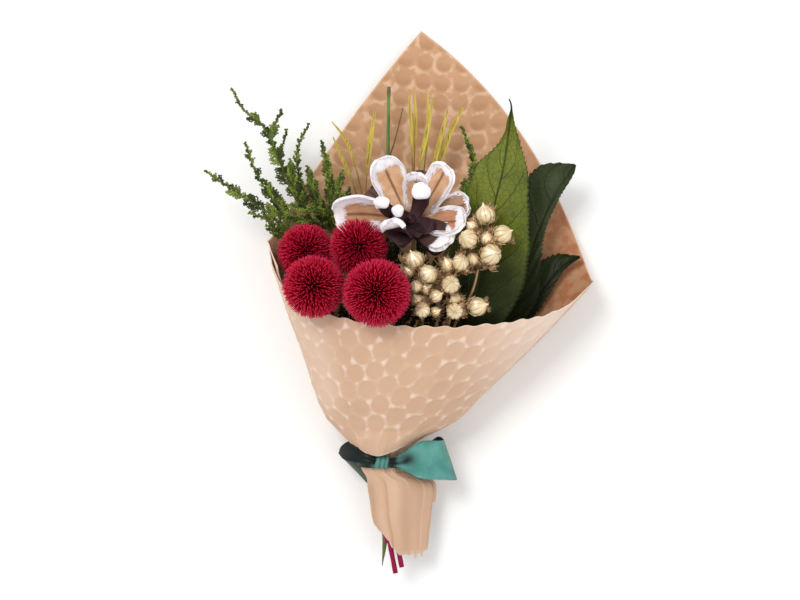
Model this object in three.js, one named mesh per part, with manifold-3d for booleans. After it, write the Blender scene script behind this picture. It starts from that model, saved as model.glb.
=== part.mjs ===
// A small mixed bouquet of dried and preserved stems in a cone of kraft paper, lying on its back.
// Millimetres, +Z up. +Y runs from the cut stem ends to the tip of the paper, +X to the right as seen
// from above. The origin is on the surface it lies on, under the middle of the paper's flat spot.
import * as THREE from "three";
import { mergeVertices } from "three/addons/utils/BufferGeometryUtils.js";
import Module from "manifold-3d";

const wasm = await Module();
wasm.setup();

// ---- driving dimensions ----
const neck = { x: -7.2, y: -70, z: 12 };
const neckStraight = 8;
const stemPitch = 2.75;
const stemDrift = 5.7;
const stemEnd = -109;

const sheet = {
  thickness: 0.7,
  layerGap: 0.6,
  columns: 44,
  tailHeights: [-98, -85, -76.4],
  coneRows: 8,
  firstAngle: -190,
  lastAngle: 228,
};
// Cross-sections of the paper from tail to tip: height along Y, centre X, half width, half depth, lowest Z.
// A lowest Z below zero is cut off flat at zero, which makes the spot that the bouquet lies on.
const sections = [
  [-116, 1.8, 9.4, 8.2, 3.4],
  [-106, 0.9, 10.5, 9, 2.6],
  [-98, 0, 12.4, 9.8, 2],
  [-91, 1.5, 14.8, 10.4, 1.6],
  [-84, 0.6, 15.2, 10.8, 1.4],
  [-80.5, -2, 12.6, 10.2, 1.7],
  [-77, -6.9, 9.5, 9.4, 2.6],
  [-73.5, -7.2, 9.4, 9.4, 2.6],
  [-70.5, -7.2, 9.4, 9.4, 2.6],
  [-67.5, -7.2, 9.9, 10, 2.2],
  [-64.5, -7, 12.8, 12.4, 1],
  [-61.6, -6.4, 16.4, 14.2, 0.4],
  [-57, -4, 23.8, 17.5, -0.8],
  [-52, -2.2, 30, 20.2, -1.6],
  [-44, -0.4, 35.4, 23, -2],
  [-26, 6.2, 47.6, 26, -2],
  [-9, 11.4, 59, 27.8, -2],
  [8, 16.1, 69.4, 29, -2],
  [26, 19.2, 78, 29.4, -2],
  [60, 24.4, 93, 29.4, -1.6],
  [122, 30, 112, 29, 5],
];
const paperTip = new THREE.Vector2(9.6, 122);
const leftBow = new THREE.Vector2(-29.5, 77.6);
const leftCorner = new THREE.Vector2(-58.7, 26);
const rightBow = new THREE.Vector2(66, 82);
const rightCorner = new THREE.Vector2(85.5, 8.4);
// The front edge of the paper: angle round the cone, height.
const frontEdge = [
  [0, 8.4],
  [20, -3],
  [45, -8.8],
  [90, -11.5],
  [135, -6.5],
  [160, 1.7],
  [180, 16.7],
  [205, 30],
  [228, 36],
];
const pleats = { count: 11, depth: 0.45, fadeFrom: -66, fadeTo: -50 };
const overhang = { dip: 4.2, centre: -62.5, reach: 5.5, angle: 105 };

const rad = THREE.MathUtils.degToRad;
const { lerp, smoothstep, clamp } = THREE.MathUtils;

// A repeatable random number from 0 to 1.
function makeRandom(seed) {
  let state = seed;
  return () => {
    state = (state * 1664525 + 1013904223) % 4294967296;
    return state / 4294967296;
  };
}

const v3 = (x, y, z) => new THREE.Vector3(x, y, z);

// ---- solids ----

// A closed mesh as a solid that can be joined and cut.
function solidOf(geometry) {
  const bare = new THREE.BufferGeometry();
  bare.setAttribute("position", geometry.getAttribute("position"));
  bare.setIndex(geometry.getIndex());
  const merged = mergeVertices(bare, 1e-4);
  return new wasm.Manifold(
    new wasm.Mesh({
      numProp: 3,
      vertProperties: merged.attributes.position.array,
      triVerts: new Uint32Array(merged.index.array),
    }),
  );
}

function geometryOf(solid) {
  const made = solid.getMesh();
  const geometry = new THREE.BufferGeometry();
  geometry.setAttribute("position", new THREE.BufferAttribute(made.vertProperties, 3));
  geometry.setIndex(new THREE.BufferAttribute(made.triVerts, 1));
  geometry.computeVertexNormals();
  return geometry;
}

function geometryFrom(points, faces) {
  const geometry = new THREE.BufferGeometry();
  const flat = points.flatMap((p) => [p.x, p.y, p.z]);
  geometry.setAttribute("position", new THREE.Float32BufferAttribute(flat, 3));
  geometry.setIndex(faces);
  return geometry;
}

// One solid out of several geometries, without the scraps that a join may leave.
function join(geometries) {
  const joined = wasm.Manifold.union(geometries.map(solidOf));
  const bodies = joined.decompose();
  bodies.sort((a, b) => b.volume() - a.volume());
  return geometryOf(bodies[0]);
}

// A solid through closed rings of points, all of the same count, each seen anticlockwise from its far side.
function loft(rings) {
  const count = rings[0].length;
  const last = (rings.length - 1) * count;
  const faces = [];
  for (let r = 0; r + 1 < rings.length; r++) {
    for (let i = 0; i < count; i++) {
      const a = r * count + i;
      const b = r * count + ((i + 1) % count);
      faces.push(a, b, b + count, a, b + count, a + count);
    }
  }
  for (let i = 1; i + 1 < count; i++) {
    faces.push(0, i + 1, i);
    faces.push(last, last + i, last + i + 1);
  }
  return geometryFrom(rings.flat(), faces);
}

// A thin blade of even thickness about the surface at(u, v), with u and v from 0 to 1.
function blade(columns, rows, thickness, at) {
  const points = [[], []];
  const step = 1e-3;
  for (let i = 0; i <= columns; i++) {
    for (let j = 0; j <= rows; j++) {
      const u = i / columns;
      const v = j / rows;
      const alongU = at(Math.min(u + step, 1), v).sub(at(Math.max(u - step, 0), v));
      const alongV = at(u, Math.min(v + step, 1)).sub(at(u, Math.max(v - step, 0)));
      const normal = alongU.cross(alongV).normalize();
      points[0].push(at(u, v).addScaledVector(normal, thickness / 2));
      points[1].push(at(u, v).addScaledVector(normal, -thickness / 2));
    }
  }
  const under = points[0].length;
  const faces = [];
  const quad = (a, b, c, d) => faces.push(a, b, c, a, c, d);
  const index = (i, j) => i * (rows + 1) + j;
  for (let i = 0; i < columns; i++) {
    for (let j = 0; j < rows; j++) {
      const [a, b, c, d] = [index(i, j), index(i + 1, j), index(i + 1, j + 1), index(i, j + 1)];
      quad(a, b, c, d);
      faces.push(under + a, under + c, under + b, under + a, under + d, under + c);
    }
    const [left, nextLeft] = [index(i, 0), index(i + 1, 0)];
    const [right, nextRight] = [index(i, rows), index(i + 1, rows)];
    quad(left, under + left, under + nextLeft, nextLeft);
    quad(right, nextRight, under + nextRight, under + right);
  }
  for (let j = 0; j < rows; j++) {
    const [first, nextFirst] = [index(0, j), index(0, j + 1)];
    const [end, nextEnd] = [index(columns, j), index(columns, j + 1)];
    quad(first, nextFirst, under + nextFirst, under + first);
    quad(end, under + end, under + nextEnd, nextEnd);
  }
  return geometryFrom([...points[0], ...points[1]], faces);
}

// Two directions across a line, the first as near as it can be to the wish.
function across(along, wish) {
  const side = wish.clone().addScaledVector(along, -wish.dot(along)).normalize();
  return [side, along.clone().cross(side)];
}

// A ring of points about a centre, in the plane of two directions.
function ringAbout(centre, side, other, radius, sides) {
  const ring = [];
  for (let k = 0; k < sides; k++) {
    const turn = (2 * Math.PI * k) / sides;
    const point = centre.clone().addScaledVector(side, radius * Math.cos(turn));
    ring.push(point.addScaledVector(other, radius * Math.sin(turn)));
  }
  return ring;
}

// A round tube through points, two steps from each to the next, with a radius that may change.
function tube(points, startRadius, endRadius, sides) {
  const curve = new THREE.CatmullRomCurve3(points);
  const steps = 2 * (points.length - 1);
  const rings = [];
  for (let i = 0; i <= steps; i++) {
    const [side, other] = across(curve.getTangent(i / steps), v3(1, 0, 0.01));
    const radius = lerp(startRadius, endRadius, i / steps);
    rings.push(ringAbout(curve.getPoint(i / steps), side, other, radius, sides));
  }
  return loft(rings);
}

// A hoop round the neck, between two distances from it and two heights, with a bulge by direction.
function hoop({ inner, outer, low, high, sides }, bulge = () => 0) {
  const cut = 1;
  const ringAt = (y, radius) => {
    const ring = [];
    for (let k = 0; k < sides; k++) {
      const turn = -(2 * Math.PI * k) / sides;
      const r = radius + bulge(turn);
      ring.push(v3(neck.x + r * Math.cos(turn), y, neck.z + r * Math.sin(turn)));
    }
    return ring;
  };
  const outside = solidOf(loft([ringAt(low, outer), ringAt(high, outer)]));
  const inside = solidOf(loft([ringAt(low - cut, inner), ringAt(high + cut, inner)]));
  return geometryOf(outside.subtract(inside));
}

// ---- stems ----

// The bundle's slots stand in rows like stacked pipes: column and row from the middle of the neck.
function slotPoint(slot, y) {
  const [column, row] = slot;
  return v3(neck.x + column * stemPitch, y, neck.z + row * stemPitch * Math.sin(rad(60)));
}

// The route of a stem from its cut end, through its slot in the neck, to what it carries.
function stemRoute(slot, upper, lower) {
  const end = slotPoint(slot, stemEnd);
  end.x += stemDrift;
  const cutEnd = lower ? lower.map((p) => v3(...p)) : [end];
  const below = slotPoint(slot, neck.y - neckStraight);
  const above = slotPoint(slot, neck.y + neckStraight);
  return [...cutEnd, below, above, ...upper.map((p) => v3(...p))];
}

// ---- kraft paper ----

// A smooth value between the stations of a table whose first column is the place.
function between(table, place, column) {
  let k = 1;
  while (k < table.length - 1 && table[k][0] < place) k++;
  const [low, high] = [table[k - 1], table[k]];
  const share = clamp((place - low[0]) / (high[0] - low[0]), 0, 1);
  const slope = (i) => {
    const [before, after] = [table[Math.max(i - 1, 0)], table[Math.min(i + 1, table.length - 1)]];
    return (after[column] - before[column]) / (after[0] - before[0]);
  };
  const span = high[0] - low[0];
  const [s2, s3] = [share * share, share * share * share];
  return (
    low[column] * (2 * s3 - 3 * s2 + 1) +
    high[column] * (3 * s2 - 2 * s3) +
    span * slope(k - 1) * (s3 - 2 * s2 + share) +
    span * slope(k) * (s3 - s2)
  );
}

// A point of the sheet's outer face. Angle 0 is the right side, 90 the front, 180 the left, -90 the back.
function paperPoint(angle, height) {
  const [centreX, halfWidth, halfDepth, lowest] = [1, 2, 3, 4].map((c) => between(sections, height, c));
  const layer = (sheet.thickness + sheet.layerGap) * smoothstep(angle, 120, 160);
  const pleat =
    pleats.depth *
    (1 - smoothstep(height, pleats.fadeFrom, pleats.fadeTo)) *
    Math.cos(pleats.count * rad(angle));
  const grow = layer + pleat;
  const z = lowest + halfDepth + (halfDepth + grow) * Math.sin(rad(angle));
  const bump = Math.max(0, 1 - ((height - overhang.centre) / overhang.reach) ** 2);
  const facing = Math.max(0, Math.cos(rad(angle - overhang.angle))) ** 2;
  return v3(
    centreX + (halfWidth + grow) * Math.cos(rad(angle)),
    height - overhang.dip * bump * facing,
    Math.max(z, 0),
  );
}

// Where a bowed cut edge of the back stands at a height, found by halving.
function edgeX(height, bow, corner) {
  const edge = new THREE.QuadraticBezierCurve(paperTip, bow, corner);
  let [low, high] = [0, 1];
  for (let i = 0; i < 24; i++) {
    const middle = (low + high) / 2;
    if (edge.getPoint(middle).y > height) low = middle;
    else high = middle;
  }
  return edge.getPoint(low).x;
}

// The angle at which the tip of the paper stands.
const tipAngle = (() => {
  const [centreX, halfWidth] = [1, 2].map((c) => between(sections, paperTip.y, c));
  return -THREE.MathUtils.radToDeg(Math.acos((paperTip.x - centreX) / halfWidth));
})();

// The height of the sheet's upper edge at an angle, found by halving where it is cut across the back.
function rimHeight(angle) {
  if (angle >= 0) return between(frontEdge, angle, 1);
  if (angle <= -180) return leftCorner.y + (angle + 180) * 1.1;
  const onLeft = angle < tipAngle;
  let [low, high] = [onLeft ? leftCorner.y : rightCorner.y, paperTip.y];
  for (let i = 0; i < 30; i++) {
    const middle = (low + high) / 2;
    const x = paperPoint(angle, middle).x;
    const inside = onLeft
      ? x > edgeX(middle, leftBow, leftCorner)
      : x < edgeX(middle, rightBow, rightCorner);
    if (inside) low = middle;
    else high = middle;
  }
  return low;
}

// The lower edge of the tail, cut higher on its left side.
function tailHeight(angle) {
  return -112.5 + 6 * Math.max(0, -Math.cos(rad(angle))) ** 3 - 1.8 * Math.sin(rad(angle));
}

function paperWrap() {
  const { columns, tailHeights, coneRows, firstAngle, lastAngle, thickness } = sheet;
  const tailRows = tailHeights.length + 1;
  const rows = tailRows + coneRows;
  const tipColumn = Math.round(((tipAngle - firstAngle) / (lastAngle - firstAngle)) * columns);
  // Two even runs of columns, so that one of them falls on the tip of the paper.
  const angleOf = (u) => {
    const column = u * columns;
    if (column <= tipColumn) return lerp(firstAngle, tipAngle, column / tipColumn);
    return lerp(tipAngle, lastAngle, (column - tipColumn) / (columns - tipColumn));
  };
  const at = (u, v) => {
    const angle = angleOf(u);
    const row = v * rows;
    if (row <= tailRows) {
      const heights = [tailHeight(angle), ...tailHeights, neck.y];
      const below = Math.min(Math.floor(row), tailRows - 1);
      return paperPoint(angle, lerp(heights[below], heights[below + 1], row - below));
    }
    const share = ((row - tailRows) / coneRows) ** 1.6;
    return paperPoint(angle, lerp(neck.y, rimHeight(angle), share));
  };
  // The blade grows both ways from its surface, so the surface is the outer face moved half the paper in.
  const inward = (u, v) => {
    const step = 1e-3;
    const alongU = at(Math.min(u + step, 1), v).sub(at(Math.max(u - step, 0), v));
    const alongV = at(u, Math.min(v + step, 1)).sub(at(u, Math.max(v - step, 0)));
    const normal = alongU.cross(alongV).normalize();
    return at(u, v).addScaledVector(normal, thickness / 2);
  };
  return blade(columns, rows, thickness, inward);
}

// ---- ribbon ----
const ribbon = { thickness: 0.8, lapOver: 1.3 };
const ribbonTurn = { inner: 10.2, outer: 11, low: -75.6, high: -70.3, sides: 24 };
// Each loop is a strip between two edges, from the knot out to its fold and back underneath.
const ribbonLoops = {
  left: [
    [
      [-10, -70.6, 24],
      [-15, -68.8, 24.8],
      [-23.2, -64, 20.4],
      [-26.6, -66.6, 15.6],
      [-24.4, -71.2, 11.6],
      [-19.2, -72.6, 6.2],
      [-14, -73.4, 1.5],
    ],
    [
      [-10, -73.8, 24],
      [-15.5, -72.6, 22.4],
      [-22, -70, 17.6],
      [-27, -68.4, 12.4],
      [-25, -71.6, 9.4],
      [-20.6, -77.6, 5.6],
      [-13.8, -84.6, 1.1],
    ],
  ],
  right: [
    [
      [-5, -70.6, 24.4],
      [0.6, -68, 26.8],
      [9.3, -62.4, 28],
      [18.5, -62.2, 25.6],
      [21, -62.4, 18],
      [17, -61.4, 12.6],
      [11, -66, 10.4],
      [2.6, -71.4, 9.8],
    ],
    [
      [-5, -73.8, 24.4],
      [0.6, -75, 26],
      [9.1, -78.8, 26.2],
      [18.4, -79.6, 24.4],
      [25, -78.8, 18],
      [20, -76.6, 11.4],
      [11, -74.8, 8.4],
      [2.6, -75, 9],
    ],
  ],
};
const knotShape = { x: -6.2, y: -72.6, z: 24.2, length: 9.4, half: 3, depth: 2 };

function ribbonLoop([upperEdge, lowerEdge]) {
  const [upper, lower] = [upperEdge, lowerEdge].map(
    (edge) => new THREE.CatmullRomCurve3(edge.map((p) => v3(...p))),
  );
  return blade(12, 2, ribbon.thickness, (u, v) => upper.getPoint(u).lerp(lower.getPoint(u), v));
}

// The turn round the neck, wider on the left where the paper laps over itself.
function ribbonBand() {
  return hoop(ribbonTurn, (turn) => ribbon.lapOver * smoothstep(-Math.cos(turn), -0.2, 0.7));
}

function ribbonKnot() {
  const { x, y, z, length, half, depth } = knotShape;
  const rings = [-1, -0.7, 0.1, 0.8, 1].map((share) => {
    const swell = Math.sqrt(1 - 0.72 * share * share);
    const ring = [];
    for (let k = 0; k < 8; k++) {
      const turn = (2 * Math.PI * (k + 0.5)) / 8;
      ring.push(
        v3(
          x + (share * length) / 2,
          y + half * swell * Math.cos(turn),
          z + depth * swell * Math.sin(turn),
        ),
      );
    }
    return ring;
  });
  return loft(rings);
}

function ribbonBow() {
  return join([ribbonBand(), ribbonKnot(), ...Object.values(ribbonLoops).map(ribbonLoop)]);
}

// ---- binding ----

// The thread that holds the stems together inside the paper.
const threadTurns = { inner: 7, outer: 7.8, low: neck.y - 2.4, high: neck.y + 2.4, sides: 20 };

// ---- crimson spiky heads ----
const spikyHeads = {
  front_right: {
    centre: [-9.9, 3, 60],
    radius: 14.3,
    detail: 3,
    slot: [0, 2],
    via: [[-7.6, -30, 30], [-9, -9, 45]],
    cut: [0.8, -119.4, 17.2],
  },
  front_left: {
    centre: [-36.8, 5.7, 53],
    radius: 13.2,
    detail: 3,
    slot: [-1, 2],
    via: [[-17, -34, 27], [-31, -8, 42]],
    cut: [-2, -122.2, 16.5],
  },
  back_right: {
    centre: [-18.2, 23, 35.8],
    radius: 12.8,
    detail: 2,
    slot: [-0.5, 1],
    via: [[-11, -30, 22], [-15.5, 6, 31]],
  },
  back_left: {
    centre: [-41.5, 21.2, 27.6],
    radius: 12.3,
    detail: 2,
    slot: [-1.5, 1],
    via: [[-20, -34, 18], [-34, 4, 23]],
  },
};
const spikyShape = { core: 0.44, stemRadius: 1.1, taper: 0.08 };

// Each face of a fine globe is drawn out to a point, so that spines stand all over the core.
function spikyHead({ centre, radius, detail, slot, via, cut }, seed) {
  const random = makeRandom(seed);
  const globe = new THREE.IcosahedronGeometry(radius * spikyShape.core, detail);
  const corners = mergeVertices(
    new THREE.BufferGeometry().setAttribute("position", globe.getAttribute("position")),
    1e-3,
  );
  const place = corners.getAttribute("position");
  const points = [];
  for (let i = 0; i < place.count; i++) points.push(new THREE.Vector3().fromBufferAttribute(place, i));
  const faces = [];
  const index = corners.getIndex().array;
  for (let f = 0; f < index.length; f += 3) {
    const [a, b, c] = [index[f], index[f + 1], index[f + 2]];
    const point = points[a].clone().add(points[b]).add(points[c]);
    const tip = points.push(point.setLength(radius * (1 - spikyShape.taper * random()))) - 1;
    faces.push(a, b, tip, b, c, tip, c, a, tip);
  }
  const head = geometryFrom(points, faces).translate(...centre);
  const route = stemRoute(slot, [...via, centre], cut && [cut]);
  return join([head, tube(route, spikyShape.stemRadius, spikyShape.stemRadius * 0.8, 5)]);
}

// ---- pine cone ----
// The cone opens like a bowl along its axis, which leans towards the tip of the paper.
const cone = {
  base: v3(5.6, 31, 33),
  axis: v3(-0.1, 0.34, 0.935).normalize(),
  coreRadius: 4.4,
  coreLength: 15,
  scaleThickness: 1.2,
};
// Each ring of scales: how far up the core it springs, then the tip and the width of every scale.
const coneRings = [
  {
    height: 2.5,
    scales: [
      [-14, 48, 33, 12],
      [12, 56, 35, 13],
      [21, 20.6, 37, 12],
    ],
  },
  {
    height: 6.5,
    scales: [
      [-10.2, 60, 46, 14],
      [-26, 39.2, 55.4, 14.4],
      [-5.6, 29.4, 53, 11],
      [20, 23.4, 51.6, 13],
      [28.6, 37.6, 52.6, 13],
      [22.2, 55.4, 49.6, 14],
      [9, 56.4, 46, 9],
    ],
  },
  {
    height: 10,
    scales: [
      [-7.6, 41.6, 55, 7.6],
      [-0.8, 36.4, 57, 5],
      [9.8, 46, 55.4, 8],
      [13.6, 30.6, 52, 8],
    ],
  },
];
// The woody core from base to top, as shares of its length and radius.
const coreOutline = [
  [0, 0.5],
  [0.15, 0.95],
  [0.55, 0.9],
  [0.85, 0.5],
  [1, 0.15],
];
// A scale's half width along its length, as a share of the full half width.
const scaleOutline = [
  [0, 0.36],
  [0.35, 0.56],
  [0.72, 1],
  [0.92, 0.84],
  [1, 0.5],
];

function coneScale([x, y, z, width], height) {
  const tip = v3(x, y, z);
  const root = cone.base.clone().addScaledVector(cone.axis, height);
  const out = tip.clone().sub(root);
  const length = out.length();
  out.addScaledVector(cone.axis, -out.dot(cone.axis)).normalize();
  const knee = root
    .clone()
    .addScaledVector(cone.axis, 0.12 * length)
    .addScaledVector(out, 0.5 * length);
  const rib = new THREE.QuadraticBezierCurve3(root, knee, tip);
  return blade(4, width > 8 ? 4 : 2, cone.scaleThickness, (u, v) => {
    const share = 2 * v - 1;
    const half = (width / 2) * between(scaleOutline, u, 1);
    const [side, inward] = across(rib.getTangent(u), cone.axis.clone().cross(out));
    return rib
      .getPoint(u)
      .addScaledVector(side, half * share)
      .addScaledVector(inward, -0.24 * half * share * share);
  });
}

function pineCone() {
  const [east, north] = across(cone.axis, v3(1, 0, 0));
  const core = loft(
    coreOutline.map(([place, share]) => {
      const centre = cone.base.clone().addScaledVector(cone.axis, place * cone.coreLength);
      return ringAbout(centre, east, north, cone.coreRadius * share, 8);
    }),
  );
  const scales = coneRings.flatMap((ring) => ring.scales.map((scale) => coneScale(scale, ring.height)));
  return join([core, ...scales]);
}

// The wooden pick that carries the cone, which ends just short of its base.
function conePick() {
  const foot = cone.base.clone().addScaledVector(cone.axis, -0.8);
  const under = foot.clone().addScaledVector(cone.axis, -4).add(v3(0, -4, 0));
  const route = stemRoute([0.5, 1], [[-2.4, -34, 17.5], under.toArray(), foot.toArray()]);
  return tube(route, 1.1, 1.2, 6);
}

// ---- golden pods ----
// A spray: its slot, the stretch of stem that its stalks spring from, and its pods as x, y, z, radius.
const podSprays = {
  left: {
    slot: [1, 2],
    via: [[3, -40, 28], [9.4, -14, 40]],
    fork: [[9.6, -6, 43], [8.8, 10, 46.4]],
    pods: [
      [6.2, 17.4, 52, 3.9],
      [12, 11.2, 55.5, 3.8],
      [4, 12.4, 47.6, 2.4],
      [7, 6, 51, 2.6],
      [11.6, 5, 48.6, 2.5],
      [15.6, 1.8, 52, 2.7],
      [7.4, 0.2, 47.2, 2.5],
      [9.6, -4.4, 51, 3.4],
      [15.4, -5, 48.6, 2.2],
    ],
  },
  middle: {
    slot: [1.5, 1],
    via: [[10, -38, 26], [20, -14, 38]],
    fork: [[22.4, -5, 42.4], [23, 12, 45.6]],
    pods: [
      [25.8, 16, 54, 3.6],
      [20.6, 15.2, 50.4, 3],
      [21.6, 6.6, 54, 3.9],
      [23.8, 0.6, 49.8, 2.4],
      [23.4, -4.8, 52, 3.6],
      [33.4, -2.8, 49.4, 4.1],
    ],
  },
  right: {
    slot: [2, 0],
    via: [[18, -36, 25], [31, -6, 36.5]],
    fork: [[34.4, 8, 42.6], [35.2, 28, 44.6]],
    pods: [
      [38.8, 19.4, 53, 4.6],
      [31.2, 17.6, 49.8, 2.8],
      [29, 26, 54.4, 4.1],
      [37, 26.6, 50, 3],
      [44, 28.2, 51.6, 4],
      [30.6, 31.6, 51.4, 2.4],
      [36.4, 36.6, 51.4, 4],
    ],
  },
};
// A pod's outline from stalk to beak, as distance along its axis and radius, both in pod radii.
const podOutline = [
  [-0.96, 0.24],
  [-0.56, 0.84],
  [0.2, 0.98],
  [0.88, 0.4],
  [1.36, 0.06],
];

function podSpray({ slot, via, fork, pods }) {
  const pieces = [tube(stemRoute(slot, [...via, ...fork]), 1, 0.65, 4)];
  const [low, high] = fork.map((p) => v3(...p));
  const stretch = new THREE.Line3(low, high);
  for (const [x, y, z, radius] of pods) {
    const centre = v3(x, y, z);
    const below = centre.clone().add(v3(0, -3, 0));
    const from = stretch.closestPointToPoint(below, true, v3());
    const facing = centre.clone().sub(from).normalize().add(v3(0, 0, 0.5)).normalize();
    const [side, other] = across(facing, v3(1, 0.2, 0));
    const sides = radius > 2.9 ? 7 : 6;
    const rings = podOutline.map(([place, share]) => {
      const middle = centre.clone().addScaledVector(facing, place * radius);
      return ringAbout(middle, side, other, share * radius, sides);
    });
    const stalk = centre.clone().addScaledVector(facing, -0.8 * radius);
    pieces.push(loft(rings), tube([from, stalk], 0.6, 0.5, 3));
  }
  return join(pieces);
}

// ---- cedar ----
// A frond: its axis, the way its flat side faces, its pairs of twigs, the longest twig and the twig width.
const cedarSprays = {
  low: {
    slot: [-2, 0],
    cut: [[-8, -119.8, 11], [-7, -106, 11.4]],
    via: [[-25, -34, 13.5], [-36, -4, 14], [-41.4, 20, 12.9], [-49.5, 30, 18.4]],
    fronds: [
      {
        axis: [[-49.5, 30, 18.4], [-56, 37, 24], [-63, 41.6, 28], [-72.4, 47.8, 32], [-84.7, 56.3, 36]],
        face: [0.1, -0.3, 1],
        pairs: 5,
        reach: 7,
        width: 3.4,
      },
      {
        axis: [[-49.5, 30, 18.4], [-53.6, 41, 24], [-60.2, 50.4, 29], [-64, 57.6, 31], [-67.6, 68.6, 33]],
        face: [-0.3, 0, 1],
        pairs: 6,
        reach: 5.4,
        width: 3,
      },
      {
        axis: [[-49.5, 30, 18.4], [-57, 34.6, 24], [-66, 38.6, 26]],
        face: [0, -0.2, 1],
        pairs: 3,
        reach: 4.2,
        width: 3,
      },
    ],
  },
  tall: {
    slot: [-1.5, -1],
    via: [[-21, -34, 9], [-31, 0, 9.8], [-36.6, 26, 10.6], [-41, 38, 14]],
    fronds: [
      {
        axis: [
          [-41, 38, 14],
          [-48, 50, 20],
          [-54.4, 63, 26],
          [-59.6, 75.6, 30],
          [-68.6, 83.6, 34],
          [-73.2, 92, 36],
        ],
        face: [0.2, 0, 1],
        pairs: 6,
        reach: 8.4,
        width: 3.4,
      },
      {
        axis: [[-41, 38, 14], [-45, 52, 19], [-49.4, 64, 24], [-52.4, 81.6, 28]],
        face: [0, 0.2, 1],
        pairs: 5,
        reach: 6,
        width: 3.2,
      },
      {
        axis: [[-41, 38, 14], [-42, 50, 17], [-43.6, 62, 20], [-40.4, 76, 22]],
        face: [-0.2, 0.2, 1],
        pairs: 4,
        reach: 6,
        width: 3.4,
      },
    ],
  },
  inner: {
    slot: [-0.5, -1],
    via: [[-14, -34, 7.4], [-25, 4, 7.6], [-30, 30, 9]],
    fronds: [
      {
        axis: [[-30, 30, 9], [-30.6, 46, 18], [-31.6, 56, 23], [-35, 68, 26]],
        face: [0.3, 0, 1],
        pairs: 5,
        reach: 8,
        width: 3.6,
      },
      {
        axis: [[-30, 30, 9], [-25.6, 44, 14], [-24.6, 54, 17], [-25, 62, 18]],
        face: [0, 0.2, 1],
        pairs: 5,
        reach: 7,
        width: 3.2,
      },
      {
        axis: [[-30, 30, 9], [-31.4, 36.6, 18], [-38, 39.6, 23], [-47, 42, 25.4]],
        face: [0, -0.2, 1],
        pairs: 4,
        reach: 7,
        width: 3.2,
      },
    ],
  },
  right: {
    slot: [0.5, -1],
    via: [[2, -34, 6], [14, 6, 6.6], [26, 32, 9]],
    fronds: [
      {
        axis: [[26, 32, 9], [31, 48, 12], [33, 62, 15], [27.6, 77, 19]],
        face: [0, 0, 1],
        pairs: 5,
        reach: 6,
        width: 3.2,
      },
    ],
  },
};
const frondShape = { thickness: 0.8, rachis: 0.55, lean: 50, droop: 0.018 };

// One twig's toothed edge, from its root on the near side of the stalk round its tip and back.
const twigEdge = [
  [0.06, -0.3],
  [0.46, -0.56],
  [0.58, -0.26],
  [1, 0.1],
  [0.66, 0.52],
  [0.16, 0.4],
];

// The flat outline of a frond: a slim stalk with leaning twigs on both sides, shorter towards its tip.
function frondOutline(length, { pairs, reach, width }) {
  const { rachis, lean } = frondShape;
  const sideEdge = (hand, offset) => {
    const edge = [];
    for (let k = 0; k < pairs; k++) {
      const along = length * (0.2 + (0.68 * (k + offset)) / pairs);
      const twig = reach * (1 - 0.62 * (k / pairs) ** 1.3);
      for (const [reached, half] of twigEdge) {
        const out = reached * twig;
        const turn = rad(lean);
        const x = along + out * Math.cos(turn) + half * width * Math.sin(turn);
        const y = rachis + out * Math.sin(turn) - half * width * Math.cos(turn);
        edge.push(new THREE.Vector2(x, hand * Math.max(y, rachis)));
      }
    }
    return edge;
  };
  const right = sideEdge(-1, 0);
  const left = sideEdge(1, 0.4).reverse();
  const start = [new THREE.Vector2(0, rachis), new THREE.Vector2(0, -rachis)];
  const end = [
    new THREE.Vector2(length * 0.93, -width * 0.42),
    new THREE.Vector2(length, 0),
    new THREE.Vector2(length * 0.95, width * 0.42),
  ];
  return [...start, ...right, ...end, ...left];
}

// A frond is cut from a thin sheet, laid along its axis and bent down a little on both sides.
function cedarFrond(frond) {
  const curve = new THREE.CatmullRomCurve3(frond.axis.map((p) => v3(...p)));
  const length = curve.getLength();
  const shape = new THREE.Shape(frondOutline(length, frond));
  const geometry = new THREE.ExtrudeGeometry(shape, { depth: frondShape.thickness, bevelEnabled: false });
  const bare = new THREE.BufferGeometry().setAttribute("position", geometry.getAttribute("position"));
  const sheetGeometry = mergeVertices(bare, 1e-4);
  const position = sheetGeometry.getAttribute("position");
  for (let i = 0; i < position.count; i++) {
    const [x, y, z] = [position.getX(i), position.getY(i), position.getZ(i)];
    const u = clamp(x / length, 0, 1);
    const [flat, side] = across(curve.getTangentAt(u), v3(...frond.face));
    const spot = curve
      .getPointAt(u)
      .addScaledVector(side, -y)
      .addScaledVector(flat, z - frondShape.thickness / 2 - frondShape.droop * y * y);
    position.setXYZ(i, spot.x, spot.y, spot.z);
  }
  return sheetGeometry;
}

function cedarSpray({ slot, cut, via, fronds }) {
  return join([tube(stemRoute(slot, via, cut), 1.1, 0.85, 4), ...fronds.map(cedarFrond)]);
}

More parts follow.
